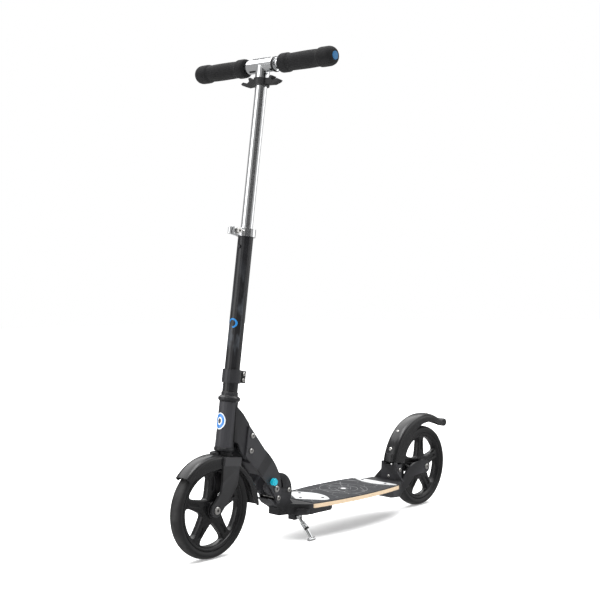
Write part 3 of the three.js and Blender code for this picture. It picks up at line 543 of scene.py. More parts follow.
SATIN = PowderCoat("satin_black_coat", (0.012, 0.012, 0.0135), 0.4, 0.0, 0.0007)
FORK_COAT = PowderCoat("fork_black_coat", (0.016, 0.016, 0.017), 0.36, 0.0, 0.0009)
ANODISED = PowderCoat("anodised_coat", (0.01, 0.01, 0.011), 0.3, 0.2, 0.0005)
CHROME = Chrome("polished_chrome", (0.86, 0.87, 0.88), 0.05, 1.0, 0.0004, (1.0, 1.0, 0.06))
PLATE_METAL = Chrome("polished_plate", (0.84, 0.85, 0.86), 0.24, 0.3, 0.0003, (0.08, 1.0, 1.0))
STEEL = Steel("plated_steel", (0.62, 0.61, 0.59), 0.28, 1.0, 0.0003)
DARK_STEEL = Steel("blackened_screw", (0.05, 0.05, 0.055), 0.35, 0.8, 0.0002)
FENDER = Moulded("fender_moulding", (0.01, 0.01, 0.0105), 0.24, 0.0, 0.0006)
RIM_PLASTIC = Moulded("rim_black_plastic", (0.006, 0.006, 0.0065), 0.26, 0.0, 0.0006, 1800.0, 0.00001)
CLIP = Moulded("clip_black_plastic", (0.007, 0.007, 0.0075), 0.42, 0.0, 0.0006)
BLUE = Moulded("end_cap_blue", (0.008, 0.085, 0.2), 0.35, 0.0, 0.0004)
TURQUOISE = Moulded("knob_turquoise", (0.01, 0.32, 0.42), 0.25, 0.0, 0.0005)
FOAM = Foam("grip_foam", (0.0075, 0.0075, 0.008), 0.8)


# ---------------------------------------------------------------- mesh helpers
def dress(names: Iterable[str], finish: Finish) -> None:
    """Gives carried-over frame nodes a finish."""
    for name in names:
        mesh = frame["nodes"][name].data
        mesh.materials.clear()
        mesh.materials.append(finish.material())


class Fit(Enum):
    """How a new piece's faces are shaded."""

    SMOOTH = 180.0
    CREASED = 38.0


@dataclass
class Maker:
    """Turns point and face lists into pieces that ride on a body."""

    body: str
    axes: Axes = UPRIGHT

    def piece(
        self,
        name: str,
        shape: bmesh.types.BMesh,
        finish: Finish,
        slot: str,
        stands_for: Sequence[str] = (),
        fit: Fit = Fit.CREASED,
    ) -> bpy.types.Object:
        """Makes a piece from a mesh in the frame's millimetres.

        Args:
            name: The piece's name.
            shape: The mesh, which is used up.
            finish: Its finish.
            slot: The record's material slot; not used.
            stands_for: Frame nodes that it replaces.
            fit: How its faces are shaded.

        Returns:
            The new object.
        """
        bmesh.ops.transform(shape, matrix=self.axes.matrix(), verts=shape.verts)
        bmesh.ops.recalc_face_normals(shape, faces=shape.faces)
        data = bpy.data.meshes.new(name)
        shape.to_mesh(data)
        shape.free()
        obj = bpy.data.objects.new(name, data)
        bpy.context.scene.collection.objects.link(obj)
        data.materials.append(finish.material())
        data.shade_smooth()
        if fit is Fit.CREASED:
            data.set_sharp_from_angle(angle=math.radians(fit.value))
        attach(obj, self.body)
        if stands_for:
            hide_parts(*stands_for)
        LOG.info("%s on %s", name, self.body)
        return obj


def blend(p: float, q: float, r: float, s: float, t: float) -> float:
    """Returns the Catmull-Rom value between q and r at t, with p and s beside them."""
    square = (2 * p - 5 * q + 4 * r - s) * t * t
    cube = (3 * q - p - 3 * r + s) * t ** 3
    return 0.5 * (2 * q + (r - p) * t + square + cube)


def curve_through(points: Sequence[Point], steps: int) -> list[Point]:
    """Returns a smooth open line through points, as Catmull-Rom spans."""
    ends = [points[0], *points, points[-1]]
    line: list[Point] = []
    for a, b, c, d in zip(ends, ends[1:], ends[2:], ends[3:]):
        for i in range(steps):
            t = i / steps
            line.append(tuple(blend(*corner, t) for corner in zip(a, b, c, d)))
    line.append(tuple(points[-1]))
    return line


def mirrored(points: Sequence[Point], shared: int = 0) -> list[Point]:
    """Returns points and their mirror image backwards; the last shared ones lie on the mirror line."""
    return [*points, *[(a, -b) for a, b in reversed(points[:len(points) - shared])]]


def outward(degrees: float) -> Vector:
    """Returns the direction at an angle from ahead, in a wheel's plane."""
    return Vector((math.cos(math.radians(degrees)), 0.0, math.sin(math.radians(degrees))))


def turned(profile: Sequence[Point], place: Placer, segments: int) -> bmesh.types.BMesh:
    """Returns a closed ring or solid of revolution.

    Args:
        profile: Radius and travel pairs, closed on themselves; a radius of 0 lies on the axis.
        place: Turns radius, angle and travel into a point.
        segments: How many steps round.
    """
    shape = bmesh.new()
    rings = []
    turns = [TAU * k / segments for k in range(segments)]
    for radius, travel in profile:
        if radius < 1e-6:
            rings.append([shape.verts.new(place(0.0, 0.0, travel))] * segments)
        else:
            rings.append([shape.verts.new(place(radius, turn, travel)) for turn in turns])
    for first, second in zip(rings, rings[1:] + rings[:1]):
        for k in range(segments):
            n = (k + 1) % segments
            corners = list(dict.fromkeys([first[k], first[n], second[n], second[k]]))
            if len(corners) > 2:
                shape.faces.new(corners)
    return shape


def about_y(x: float, z: float) -> Placer:
    """Returns a placer for pieces turned about the Y line through x, z."""
    return lambda r, a, y: Vector((x + r * math.cos(a), y, z + r * math.sin(a)))


def about_z(x: float = 0.0, y: float = 0.0) -> Placer:
    """Returns a placer for pieces turned about the Z line through x, y."""
    return lambda r, a, z: Vector((x + r * math.cos(a), y + r * math.sin(a), z))


def slab(
    loops: Sequence[Sequence[Point]], low: float, high: float, bevel: float, turn: Matrix
) -> bmesh.types.BMesh:
    """Returns a flat piece with holes and rounded edges.

    Args:
        loops: The outline and its holes in the piece's own plane.
        low: The lower face along the plane's normal.
        high: The upper face.
        bevel: Radius of the rounded edges.
        turn: From the plane's frame to the maker's frame.
    """
    curve = bpy.data.curves.new("slab", "CURVE")
    curve.dimensions = "2D"
    curve.fill_mode = "BOTH"
    for loop in loops:
        spline = curve.splines.new("POLY")
        spline.points.add(len(loop) - 1)
        for corner, (a, b) in zip(spline.points, loop):
            corner.co = (a, b, 0.0, 1.0)
        spline.use_cyclic_u = True
    curve.offset = -bevel
    curve.extrude = (high - low) / 2 - bevel
    curve.bevel_depth = bevel
    curve.bevel_resolution = 2
    holder = bpy.data.objects.new("slab", curve)
    bpy.context.scene.collection.objects.link(holder)
    bpy.context.view_layer.update()
    baked = bpy.data.meshes.new_from_object(holder.evaluated_get(bpy.context.evaluated_depsgraph_get()))
    shape = bmesh.new()
    shape.from_mesh(baked)
    bmesh.ops.remove_doubles(shape, verts=shape.verts, dist=0.005)
    lift = Matrix.Translation((0.0, 0.0, (low + high) / 2))
    bmesh.ops.transform(shape, matrix=turn @ lift, verts=shape.verts)
    bpy.data.objects.remove(holder)
    bpy.data.curves.remove(curve)
    bpy.data.meshes.remove(baked)
    return shape


def merged(first: bmesh.types.BMesh, *others: bmesh.types.BMesh) -> bmesh.types.BMesh:
    """Returns the first mesh with the others added to it."""
    for other in others:
        data = bpy.data.meshes.new("part")
        other.to_mesh(data)
        other.free()
        first.from_mesh(data)
        bpy.data.meshes.remove(data)
    return first


def about_line(foot: Vector, axis: Vector) -> Placer:
    """Returns a placer for pieces turned about a line from a foot point."""
    way = axis.normalized()
    first = way.orthogonal().normalized()
    second = way.cross(first)
    return lambda r, a, t: foot + way * t + (first * math.cos(a) + second * math.sin(a)) * r


def swept(line: Sequence[Vector], radii: Sequence[float], segments: int) -> bmesh.types.BMesh:
    """Returns a round solid along a line.

    Args:
        line: The points of its middle.
        radii: The radius at each point.
        segments: How many steps round.
    """
    shape = bmesh.new()
    rings = []
    first = (line[1] - line[0]).orthogonal().normalized()
    for k, (point, radius) in enumerate(zip(line, radii)):
        way = (line[min(k + 1, len(line) - 1)] - line[max(k - 1, 0)]).normalized()
        first = (first - way * first.dot(way)).normalized()
        second = way.cross(first)
        turns = [TAU * i / segments for i in range(segments)]
        spokes = [first * math.cos(a) + second * math.sin(a) for a in turns]
        rings.append([shape.verts.new(point + spoke * radius) for spoke in spokes])
    for low, high in zip(rings, rings[1:]):
        for i in range(segments):
            n = (i + 1) % segments
            shape.faces.new([low[i], low[n], high[n], high[i]])
    shape.faces.new(rings[0])
    shape.faces.new(rings[-1])
    return shape


SCREW_SUNK = 0.6  # how far a head reaches into what it sits on


def button_head(radius: float, height: float) -> list[Point]:
    """Returns the profile of a round screw head with a socket, from its seat outwards."""
    return [
        (0.0, -SCREW_SUNK), (radius, -SCREW_SUNK), (radius, height * 0.35), (radius * 0.82, height * 0.85),
        (radius * 0.55, height), (radius * 0.42, height), (radius * 0.4, height * 0.3), (0.0, height * 0.25),
    ]


# Turns a slab's plane to X, Z, with its normal towards -Y.
FACE_Y = Matrix(((1, 0, 0, 0), (0, 0, -1, 0), (0, 1, 0, 0), (0, 0, 0, 1)))


# ---------------------------------------------------------------- wheels
@dataclass
class Wheel:
    """A five-spoke wheel with a cast tyre; sizes in millimetres from its own centre."""

    end: str
    radius: float = 100.0
    half_width: float = 14.5
    seat: float = 84.0
    rim_seat: float = 83.7
    rim_inner: float = 74.7
    rim_half: float = 11.6
    web_half: float = 8.0
    hub_radius: float = 17.5
    hub_half: float = 13.5
    hub_recess: float = 7.1
    tread_edge: Point = (94.6, 95.4)
    tread_step: float = 0.35
    disc_radius: float = 80.5
    core_inset: float = 2.2
    face_depth: float = 3.2
    spokes: int = 5
    pocket_middle: float = 52.0
    pocket_half: float = 13.5
    segments: int = 96

    def __post_init__(self) -> None:
        """Sets out the wheel's own frame from its joint."""
        centre = joint_place(f"{self.end}_wheel_spin")
        self.maker = Maker(f"{self.end}_wheel", Axes.make(centre, LEFT, UPWARD))
        self.rubber = TyreRubber(f"{self.end}_tyre_rubber", (0.0095, 0.0095, 0.01), 0.34, centre=row(centre))

    def build(self) -> None:
        """Builds and dresses the tyre, the rim and the bearings."""
        self.tyre()
        self.rim()
        dress([f"{self.end}_bearing_left", f"{self.end}_bearing_right"], STEEL)

    def tyre(self) -> None:
        """Builds the tyre with a fine step where its tread starts."""
        side = [
            (self.seat, 11.6), (self.seat + 1.2, 12.6), (self.seat + 4, 13.8), (self.seat + 7, 14.4),
            (self.seat + 9, 14.3), (self.seat + 11.2, 13.4), (self.seat + 13, 11.6), (self.seat + 14.6, 8.4),
            (self.radius - 0.4, 4.3), (self.radius, 0.0),
        ]
        (low, high), depth = self.tread_edge, self.tread_step
        right = curve_through(side, 4)
        step = [(r - depth if low < r < high else r, min(y, self.half_width)) for r, y in right]
        shape = turned(mirrored(step, 1), about_y(0.0, 0.0), self.segments)
        stands_for = [f"{self.end}_tyre"]
        self.maker.piece(f"{self.end}_tyre_skin", shape, self.rubber, "tyre", stands_for, Fit.SMOOTH)

    def window(self, middle: float) -> list[Point]:
        """Returns the opening between two spokes, centred on an angle in radians."""
        outer = self.rim_inner - 1.0
        half = [(outer, 0), (outer, 8), (outer, 15), (outer, 21), (outer - 1.2, 25.5), (outer - 5, 27.2)]
        half += [(outer - 12, 27.2), (56, 25.8), (46, 22.5), (38, 17.5), (32, 12), (28.5, 6), (27.6, 0)]
        points = curve_through(half, 3)
        ring = [*points, *[(r, -a) for r, a in reversed(points[1:-1])]]
        turned_by = [(r, middle + math.radians(a)) for r, a in ring]
        return [(r * math.cos(turn), r * math.sin(turn)) for r, turn in turned_by]

    def pocket(self, middle: float) -> list[Point]:
        """Returns the long recess on a spoke that points along an angle in radians."""
        points = []
        for k in range(28):
            t = TAU * k / 28
            along = self.pocket_middle + self.pocket_half * math.cos(t)
            across = (3.1 + 1.3 * math.cos(t)) * math.sin(t)
            points.append((
                along * math.cos(middle) - across * math.sin(middle),
                along * math.sin(middle) + across * math.cos(middle),
            ))
        return points

    def rim(self) -> None:
        """Builds the rim: bead ring, web with windows and recesses, and hub."""
        half, inner, seat = self.rim_half, self.rim_inner, self.rim_seat
        bead = [
            (seat, half - 0.8), (seat - 0.8, half), (inner + 4.2, half), (inner + 3.2, half - 0.5),
            (inner + 1.2, half - 2.4), (inner + 0.2, half - 4.4), (inner, half - 6), (inner - 0.3, 0.0),
        ]
        ring = turned(mirrored(bead, 1), about_y(0.0, 0.0), self.segments)
        turns = [math.radians(90 + (i + 0.5) * 360 / self.spokes) for i in range(self.spokes)]
        windows = [self.window(turn) for turn in turns]
        recesses = [self.pocket(turn + math.pi / self.spokes) for turn in turns]
        reach, angles = self.disc_radius, [TAU * k / 120 for k in range(120)]
        disc = [(reach * math.cos(angle), reach * math.sin(angle)) for angle in angles]
        core, depth = self.web_half - self.core_inset, self.face_depth
        web = slab([disc, *windows], -core, core, 1.0, FACE_Y)
        faces = [
            slab([disc, *windows, *recesses], low, low + depth, 1.4, FACE_Y)
            for low in (-self.web_half, self.web_half - depth)
        ]
        hub_half, hub, recess = self.hub_half, self.hub_radius, self.hub_half - self.hub_recess
        face = [(5.5, recess), (11.4, recess), (11.4, hub_half), (hub - 1.2, hub_half)]
        face += [(hub - 0.3, hub_half - 0.5), (hub, hub_half - 1.6), (hub + 0.6, 6.0)]
        middle = turned(mirrored(face), about_y(0.0, 0.0), 64)
        shape = merged(ring, web, *faces, middle)
        self.maker.piece(f"{self.end}_rim_casting", shape, RIM_PLASTIC, "rim_plastic", [f"{self.end}_rim"])


# ---------------------------------------------------------------- handlebar
@dataclass
class Handlebar:
    """The T, its pull-out handles and their clip, in the steering frame's millimetres."""

    bar_height: float = 915.5
    bore: float = 11.3
    mouth: float = 9.1
    grip: float = 20.0
    tip: float = 189.0
    left_start: float = 52.0
    right_start: float = 47.0

    def build(self) -> None:
        """Builds and dresses the handlebar."""
        dress(["upper_tube", "left_bar", "right_bar"], CHROME)
        dress(["t_piece"], CHROME)
        dress(["grip_clip"], CLIP)
        dress(["left_end_cap", "right_end_cap"], BLUE)
        self.foam_grip("left", 1.0, self.left_start)
        self.foam_grip("right", -1.0, self.right_start)
        self.rings()

    def foam_grip(self, side: str, sign: float, start: float) -> None:
        """Builds one foam grip with its raised end rings.

        Args:
            side: left or right.
            sign: 1 for the rider's left, -1 for the right.
            start: Where the foam starts, from the middle.
        """
        big, end = self.grip, self.tip
        outer = [
            (self.bore + 2.0, start), (big - 4.2, start + 0.1),
            (big - 1.4, start + 1.2), (big - 0.2, start + 4),
            (big, start + 9), (big, start + 18), (big - 0.5, start + 21), (big - 1.9, start + 23.5),
            (big - 2.3, start + 28), (big - 1.9, start + 48), (big - 1.7, start + 70), (big - 1.9, end - 50),
            (big - 2.3, end - 37), (big - 1.7, end - 33.5), (big - 0.4, end - 31), (big, end - 26),
            (big, end - 14), (big - 0.3, end - 8), (big - 1.7, end - 3), (big - 3.9, end + 0.6),
            (big - 6.6, end + 3.0), (self.mouth + 1.8, end + 4.2), (self.mouth, end + 4.3),
        ]
        line = curve_through(outer, 4)
        inside = [(self.mouth, end + 0.3), (self.bore, end + 0.3), (self.bore, start)]
        profile = [(r, sign * y) for r, y in [*line, *inside]]
        shape = turned(profile, about_y(0.0, self.bar_height), 72)
        maker = Maker(f"{side}_handle", STEERING)
        grip = maker.piece(f"{side}_foam_grip", shape, FOAM, "foam", [f"{side}_grip"], Fit.SMOOTH)

    def rings(self) -> None:
        """Builds the black rings beside the rider's left grip."""
        collar = turned(
            [(14.3, 33.2), (15.4, 33.2), (16.0, 34.0), (16.0, 37.0), (15.4, 37.9), (14.3, 37.9)],
            about_y(0.0, self.bar_height), 64,
        )
        Maker("t_bar", STEERING).piece("t_end_ring", collar, CLIP, "black_plastic")
        seal = turned(
            [(11.15, 47.8), (13.2, 47.8), (14.0, 48.6), (14.0, 50.6), (13.2, 51.4), (11.15, 51.4)],
            about_y(0.0, self.bar_height), 64,
        )
        Maker("left_handle", STEERING).piece("left_grip_ring", seal, CLIP, "black_plastic")


# ---------------------------------------------------------------- fenders
@dataclass(frozen=True)
class Guard:
    """A rounded guard over a wheel; angles in degrees from ahead, radii in millimetres from the axle."""

    crown: tuple[tuple[float, float], ...]
    skirt: tuple[tuple[float, float], ...]
    widths: tuple[tuple[float, float], ...]
    wall: float = 2.3
    round_across: float = 15.0
    round_down: float = 9.0
    steps: int = 56

    @staticmethod
    def reading(pairs: Sequence[Point], angle: float) -> float:
        """Returns the smooth value of angle and value pairs at an angle."""
        line = curve_through(pairs, 8) if len(pairs) > 2 else list(pairs)
        if angle <= line[0][0]:
            return line[0][1]
        for (a, low), (b, high) in zip(line, line[1:]):
            if a <= angle <= b:
                return low + (high - low) * (angle - a) / max(b - a, 1e-6)
        return line[-1][1]

    @staticmethod
    def arch(half: float, top: float, foot: float, across: float, down: float) -> list[Point]:
        """Returns one rounded arch from its left foot to its right foot as Y and radius pairs."""
        turns = [math.pi / 2 * k / 8 for k in range(9)]
        corner = [(half - across + across * math.cos(t), top - down + down * math.sin(t)) for t in turns]
        right = [(half, foot), (half, foot + (top - down - foot) * 0.5), *corner]
        return [*[(-y, r) for y, r in right], *reversed(right)]

    def shape(self, hub: Vector) -> bmesh.types.BMesh:
        """Returns the guard round a hub."""
        shape = bmesh.new()
        start, end = self.crown[0][0], self.crown[-1][0]
        rings = []
        for k in range(self.steps + 1):
            angle = start + (end - start) * k / self.steps
            top, half = self.reading(self.crown, angle), self.reading(self.widths, angle)
            foot = min(self.reading(self.skirt, angle), top - self.round_down - 0.5)
            across = min(self.round_across, half - 1.0)
            outer = self.arch(half, top, foot, across, self.round_down)
            wall = self.wall
            inner = self.arch(half - wall, top - wall, foot, across - wall, self.round_down - wall)
            way = outward(angle)
            loop = [*outer, *reversed(inner)]
            rings.append([shape.verts.new(hub + way * r + Vector((0.0, y, 0.0))) for y, r in loop])
        count = len(rings[0])
        for first, second in zip(rings, rings[1:]):
            for i in range(count):
                n = (i + 1) % count
                shape.faces.new([first[i], first[n], second[n], second[i]])
        for ring in (rings[0], rings[-1]):
            for i in range(count // 2 - 1):
                shape.faces.new([ring[i], ring[i + 1], ring[count - 2 - i], ring[count - 1 - i]])
        return shape


def trimmed(shape: bmesh.types.BMesh, x: float, side: float) -> bmesh.types.BMesh:
    """Returns the mesh cut off at an X plane and closed there.

    Args:
        shape: The mesh to cut.
        x: Where the plane lies.
        side: 1 keeps what lies ahead of the plane, -1 what lies behind it.
    """
    geometry = [*shape.verts, *shape.edges, *shape.faces]
    plane = {"plane_co": (x, 0.0, 0.0), "plane_no": (side, 0.0, 0.0)}
    bmesh.ops.bisect_plane(shape, geom=geometry, clear_inner=True, **plane)
    bmesh.ops.holes_fill(shape, edges=[edge for edge in shape.edges if edge.is_boundary], sides=0)
    return shape


LEADING_GUARD = Guard(
    crown=((35.5, 111), (65, 111), (94, 111)),
    skirt=((35.5, 97), (46, 89), (72, 81), (94, 84)),
    widths=((35.5, 18.6), (94, 18.6)),
)
TRAILING_GUARD = Guard(
    crown=((115, 112), (135, 116), (156, 124), (177, 133)),
    skirt=((115, 97), (118, 97), (150, 104), (168, 108), (177, 121)),
    widths=((115, 18.6), (177, 18.6)),
)
BRAKE_GUARD = Guard(
    crown=((11, 132), (40, 132), (75, 131), (105, 133), (122, 137), (135, 144)),
    skirt=((11, 88), (25, 88), (47, 93), (61, 100), (82, 107), (105, 113), (123, 121), (135, 132)),
    widths=((11, 19), (90, 19), (112, 17.5), (126, 13.5), (135, 11)),
    wall=2.4,
)


# ---------------------------------------------------------------- steering column
@dataclass
class SteeringColumn:
    """Fork, front fenders, tubes, clamp and quick release, in the steering frame's millimetres."""

    crown_front: float = 17.3
    crown_rear: float = -30.3
    boss_ahead: float = 27.0
    boss_low: float = 106.0
    boss_top: float = 113.0
    boss_radius: float = 9.0

    def build(self) -> None:
        """Dresses the column and adds its trim."""
        dress(["lower_tube"], PrintedTube(
            "printed_lower_tube", (0.0095, 0.0095, 0.011), 0.33, 0.1, 0.0004, axis=row(STEERING.up),
            side=row(STEERING.left), ahead=row(STEERING.ahead), foot=row(STEERING.origin),
        ))
        dress(["fork"], FORK_COAT)
        dress(["headset_nut", "lower_clamp"], ANODISED)
        dress(["release_collar", "release_lever"], CHROME)
        dress(["front_axle", "release_skewer", "clamp_screw_lower", "clamp_screw_upper", "steerer"], STEEL)
        dress(["guide_bush"], CLIP)
        dress(["height_button"], DARK_STEEL)
        maker = Maker("steering", STEERING)
        self.fenders(maker)
        self.boss(maker)

    def fenders(self, maker: Maker) -> None:
        """Builds the fender ahead of the fork and the one behind it."""
        hub = STEERING.matrix().inverted() @ joint_place("front_wheel_spin")
        ahead = trimmed(LEADING_GUARD.shape(hub), self.crown_front, 1.0)
        maker.piece("front_fender_shell", ahead, FENDER, "black_plastic", ["front_fender"])
        behind = trimmed(TRAILING_GUARD.shape(hub), self.crown_rear, -1.0)
        maker.piece("front_fender_tail", behind, FENDER, "black_plastic", ["front_fender_skirt"])

    def boss(self, maker: Maker) -> None:
        """Builds the boss on top of the front fender and its screw."""
        low, top, wide = self.boss_low, self.boss_top, self.boss_radius
        rim = [(wide, top - 2.0), (wide - 1.0, top - 0.6), (wide - 2.5, top)]
        boss = [(0.0, low), (wide, low), *rim, (0.0, top)]
        maker.piece("fender_boss", turned(boss, about_z(self.boss_ahead, 0.0), 48), CLIP, "black_plastic")
        place = about_line(Vector((self.boss_ahead, 0.0, top)), Vector((0.0, 0.0, 1.0)))
        maker.piece("fender_screw", turned(button_head(4.2, 1.7), place, 32), DARK_STEEL, "steel")


# ---------------------------------------------------------------- neck
@dataclass
class Neck:
    """Head tube, gusset, side plates, bolts, lock and badge; places in the upright frame's millimetres."""

    # where the painted shadow band on the side plates starts and ends
    painted_shadow_start: tuple[float, float, float] = (-112.6, 0.0, 167.9)
    painted_shadow_end: tuple[float, float, float] = (-133.4, 0.0, 149.2)

    def build(self) -> None:
        """Dresses the neck."""
        start, end = UPRIGHT.point(*self.painted_shadow_start), UPRIGHT.point(*self.painted_shadow_end)
        along = (end - start).normalized()
        shadowed_plate_finish = ShadowPaintedPlate("side_plate_painted_shadow", SATIN.colour, 0.4, 0.0, 0.0006, row(along), row(start))
        dress(["side_plate_left", "side_plate_right"], shadowed_plate_finish)
        dress(["head_tube", "neck_spacer"], SATIN)
        dress(["lower_headset", "upper_headset"], ANODISED)
        dress(["plate_bolt_upper", "plate_bolt_lower", "stop_bolt"], STEEL)
        dress(["lock_knob"], TURQUOISE)
        low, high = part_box("badge")
        dress(["badge"], Badge(
            "badge_print", (0.015, 0.17, 0.5), 0.2, centre=row((low + high) / 2), axis=row(STEERING.up),
            side=row(STEERING.left),
        ))


# ---------------------------------------------------------------- deck
@dataclass
class Deck:
    """Board, grip sheet, plates, castings and their screws, in the upright frame's millimetres."""

    top: float = 81.0
    thickness: float = 9.5
    front: float = -258.3
    rear: float = -562.0
    front_half: float = 58.0
    wide_half: float = 74.0
    rear_half: float = 65.0
    plate_top: float = 82.7
    print_middle: tuple[float, float, float] = (-432.0, 0.0, 82.3)
    mount_screw: tuple[float, float, float] = (-609.0, 0.0, 88.0)
    screws: tuple[Point, ...] = ((-280, 0), (-316, 34), (-316, -34), (-549, 34), (-549, -34))

    def build(self) -> None:
        """Builds and dresses the deck."""
        self.maker = Maker("deck", UPRIGHT)
        self.board()
        middle = row(UPRIGHT.point(*self.print_middle))
        across = row(UPRIGHT.left)
        grit = GripTape("gritted_sheet", (0.042, 0.043, 0.046), 0.85, across=across, middle=middle)
        dress(["grip_sheet"], grit)
        dress(["front_plate", "rear_plate"], PLATE_METAL)
        dress(["nose_casting", "rear_bracket", "fender_mount"], SATIN)
        dress(["kickstand_boss"], ANODISED)
        dress(["cheek_bolt", "pivot_bolt", "fender_hinge_pin", "rear_axle", "brake_spring"], STEEL)
        front = about_line(Vector(self.mount_screw), Vector((1.0, 0.0, 0.0)))
        self.maker.piece("mount_screw", turned(button_head(3.6, 1.5), front, 32), STEEL, "steel")
        for index, (x, y) in enumerate(self.screws):
            self.screw(f"deck_screw_{index + 1}", x, y)

    def outline(self) -> list[Point]:
        """Returns the board's plan with gently bowed sides and eased corners."""
        bulge = 2 * self.wide_half - (self.front_half + self.rear_half) / 2
        middle = (self.front + self.rear) / 2
        side = []
        for k in range(33):
            t = k / 32
            a, b, c = (1 - t) ** 2, 2 * t * (1 - t), t * t
            ahead = a * self.front + b * middle + c * self.rear
            side.append((ahead, a * self.front_half + b * bulge + c * self.rear_half))
        side[0] = (side[0][0] - 3.0, side[0][1] + 0.2)
        side.insert(0, (self.front, self.front_half - 3.0))
        return mirrored(side)

    def board(self) -> None:
        """Builds the ply board with its rounded edge."""
        low = self.top - self.thickness
        shape = slab([self.outline()], low, self.top, 0.9, Matrix.Identity(4))
        foot = UPRIGHT.point(0.0, 0.0, low)
        ply = Plywood("maple_ply", (0.7, 0.53, 0.35), 0.45, up=row(UPRIGHT.up), foot=row(foot))
        self.maker.piece("maple_board", shape, ply, "wood", ["deck_board"])

    def screw(self, name: str, x: float, y: float) -> None:
        """Builds a low round screw head with a socket.

        Args:
            name: The piece's name.
            x: Place ahead of the front axle.
            y: Place to the left.
        """
        z = self.plate_top
        profile = [(0.0, z - 0.5), (3.6, z - 0.5), (3.6, z + 0.25), (3.2, z + 0.8), (2.2, z + 1.1)]
        profile += [(1.5, z + 1.1), (1.4, z + 0.3), (0.0, z + 0.2)]
        self.maker.piece(name, turned(profile, about_z(x, y), 32), DARK_STEEL, "steel")


# ---------------------------------------------------------------- brake and stand
@dataclass
class RearBrake:
    """The rear fender that is pressed down as the brake; places are in millimetres from its axle."""

    axle: tuple[float, float, float] = (-735.0, 0.0, 100.0)
    skin: float = 132.0
    hinge: Point = (113.5, 4.6)
    hinge_radius: float = 8.0
    tongue_tip: tuple[Point, ...] = ((129.5, 24.0), (126.0, 42.0), (118.0, 44.0))
    tongue_half: float = 14.1
    tongue_step: float = 17.0
    notch_half: float = 6.0
    notch_roof: tuple[Point, ...] = ((112.5, 19.0), (123.8, 19.0))
    roll: Point = (-101.0, 100.5)
    roll_radius: float = 10.0
    roll_half: float = 11.0
    rivets: tuple[tuple[str, float, float], ...] = (
        ("fender_rivet_front", 24.0, 4.4), ("fender_rivet_rear", 46.0, 3.4),
    )

    def build(self) -> None:
        """Builds the fender and its rivets, and dresses the rest."""
        maker = Maker("brake", UPRIGHT)
        self.fender(maker)
        dress(["brake_pad"], TyreRubber("brake_pad_rubber", (0.02, 0.02, 0.02), 0.6))
        dress(["brake_rivet"], STEEL)
        for name, degrees, size in self.rivets:
            out = outward(degrees)
            place = about_line(Vector(self.axle) + out * self.skin, out)
            maker.piece(name, turned(button_head(size, 1.6), place, 32), STEEL, "steel")

    def tongue(self, turn: Matrix) -> list[bmesh.types.BMesh]:
        """Returns the hinge tongue's two plates and the block that joins them above the notch.

        Args:
            turn: From the slabs' plane to the maker's frame.
        """
        x, z = self.hinge
        radius = self.hinge_radius
        turns = [math.pi + math.pi * k / 16 for k in range(17)]
        eye = [(x + radius * math.cos(t), z + radius * math.sin(t)) for t in turns]
        plate = [*eye, (x + radius, self.tongue_step), *self.tongue_tip]
        block = [*self.notch_roof, *self.tongue_tip]
        inner, outer = self.notch_half, self.tongue_half
        layers = ((plate, inner, outer), (plate, -outer, -inner), (block, -outer, outer))
        return [slab([loop], low, high, 0.5, turn) for loop, low, high in layers]

    def fender(self, maker: Maker) -> None:
        """Builds the guard, its hinge tongue and the round tail."""
        hub = Vector(self.axle)
        r, half = self.roll_radius, self.roll_half
        end = [(0.0, -half), (r - 2.0, -half), (r - 0.4, 1.4 - half), (r, 4.0 - half)]
        ahead, up = self.roll
        roll = turned(mirrored(end), about_y(hub.x + ahead, hub.z + up), 40)
        whole = merged(BRAKE_GUARD.shape(hub), *self.tongue(Matrix.Translation(hub) @ FACE_Y), roll)
        maker.piece("brake_fender_shell", whole, FENDER, "black_plastic", ["brake_fender"])


@dataclass
class Stand:
    """The kickstand with its coiled spring and black band, in the upright frame's millimetres."""

    hinge: tuple[float, float, float] = (-243.0, 29.0, 51.0)
    knee: tuple[float, float, float] = (-246.0, 40.0, 34.0)
    ankle: tuple[float, float, float] = (-249.0, 52.0, 22.0)
    hinge_share: float = 0.35
    coils: int = 9
    coil_steps: int = 8
    coil_radius: float = 5.6
    coil_dip: float = 0.75
    coil_end: float = 0.62
    band_low: float = 0.63
    band_share: float = 0.14
    band_radii: tuple[float, ...] = (5.2, 5.9, 5.9, 5.9, 5.2)

    def build(self) -> None:
        """Dresses the stand and adds the spring and the band."""
        dress(["kickstand"], CHROME)
        maker = Maker("kickstand", UPRIGHT)
        start, end = Vector(self.knee), Vector(self.ankle)
        start = start.lerp(Vector(self.hinge), self.hinge_share)
        steps = self.coils * self.coil_steps
        line = [start.lerp(end, self.coil_end * k / steps) for k in range(steps + 1)]
        waves = [abs(math.sin(math.pi * self.coils * k / steps)) for k in range(steps + 1)]
        radii = [self.coil_radius - self.coil_dip * (1 - wave) for wave in waves]
        maker.piece("kickstand_coil", swept(line, radii, 24), CHROME, "chrome", (), Fit.SMOOTH)
        band = [start.lerp(end, self.band_low + self.band_share * k / 4) for k in range(5)]
        maker.piece("kickstand_band", swept(band, self.band_radii, 24), CLIP, "black_plastic")


# ---------------------------------------------------------------- studio
@dataclass(frozen=True)
class Softbox:
    """A soft rectangular light that points at the scooter."""

    name: str
    place: tuple[float, float, float]
    target: tuple[float, float, float]
    size: tuple[float, float]
    power: float


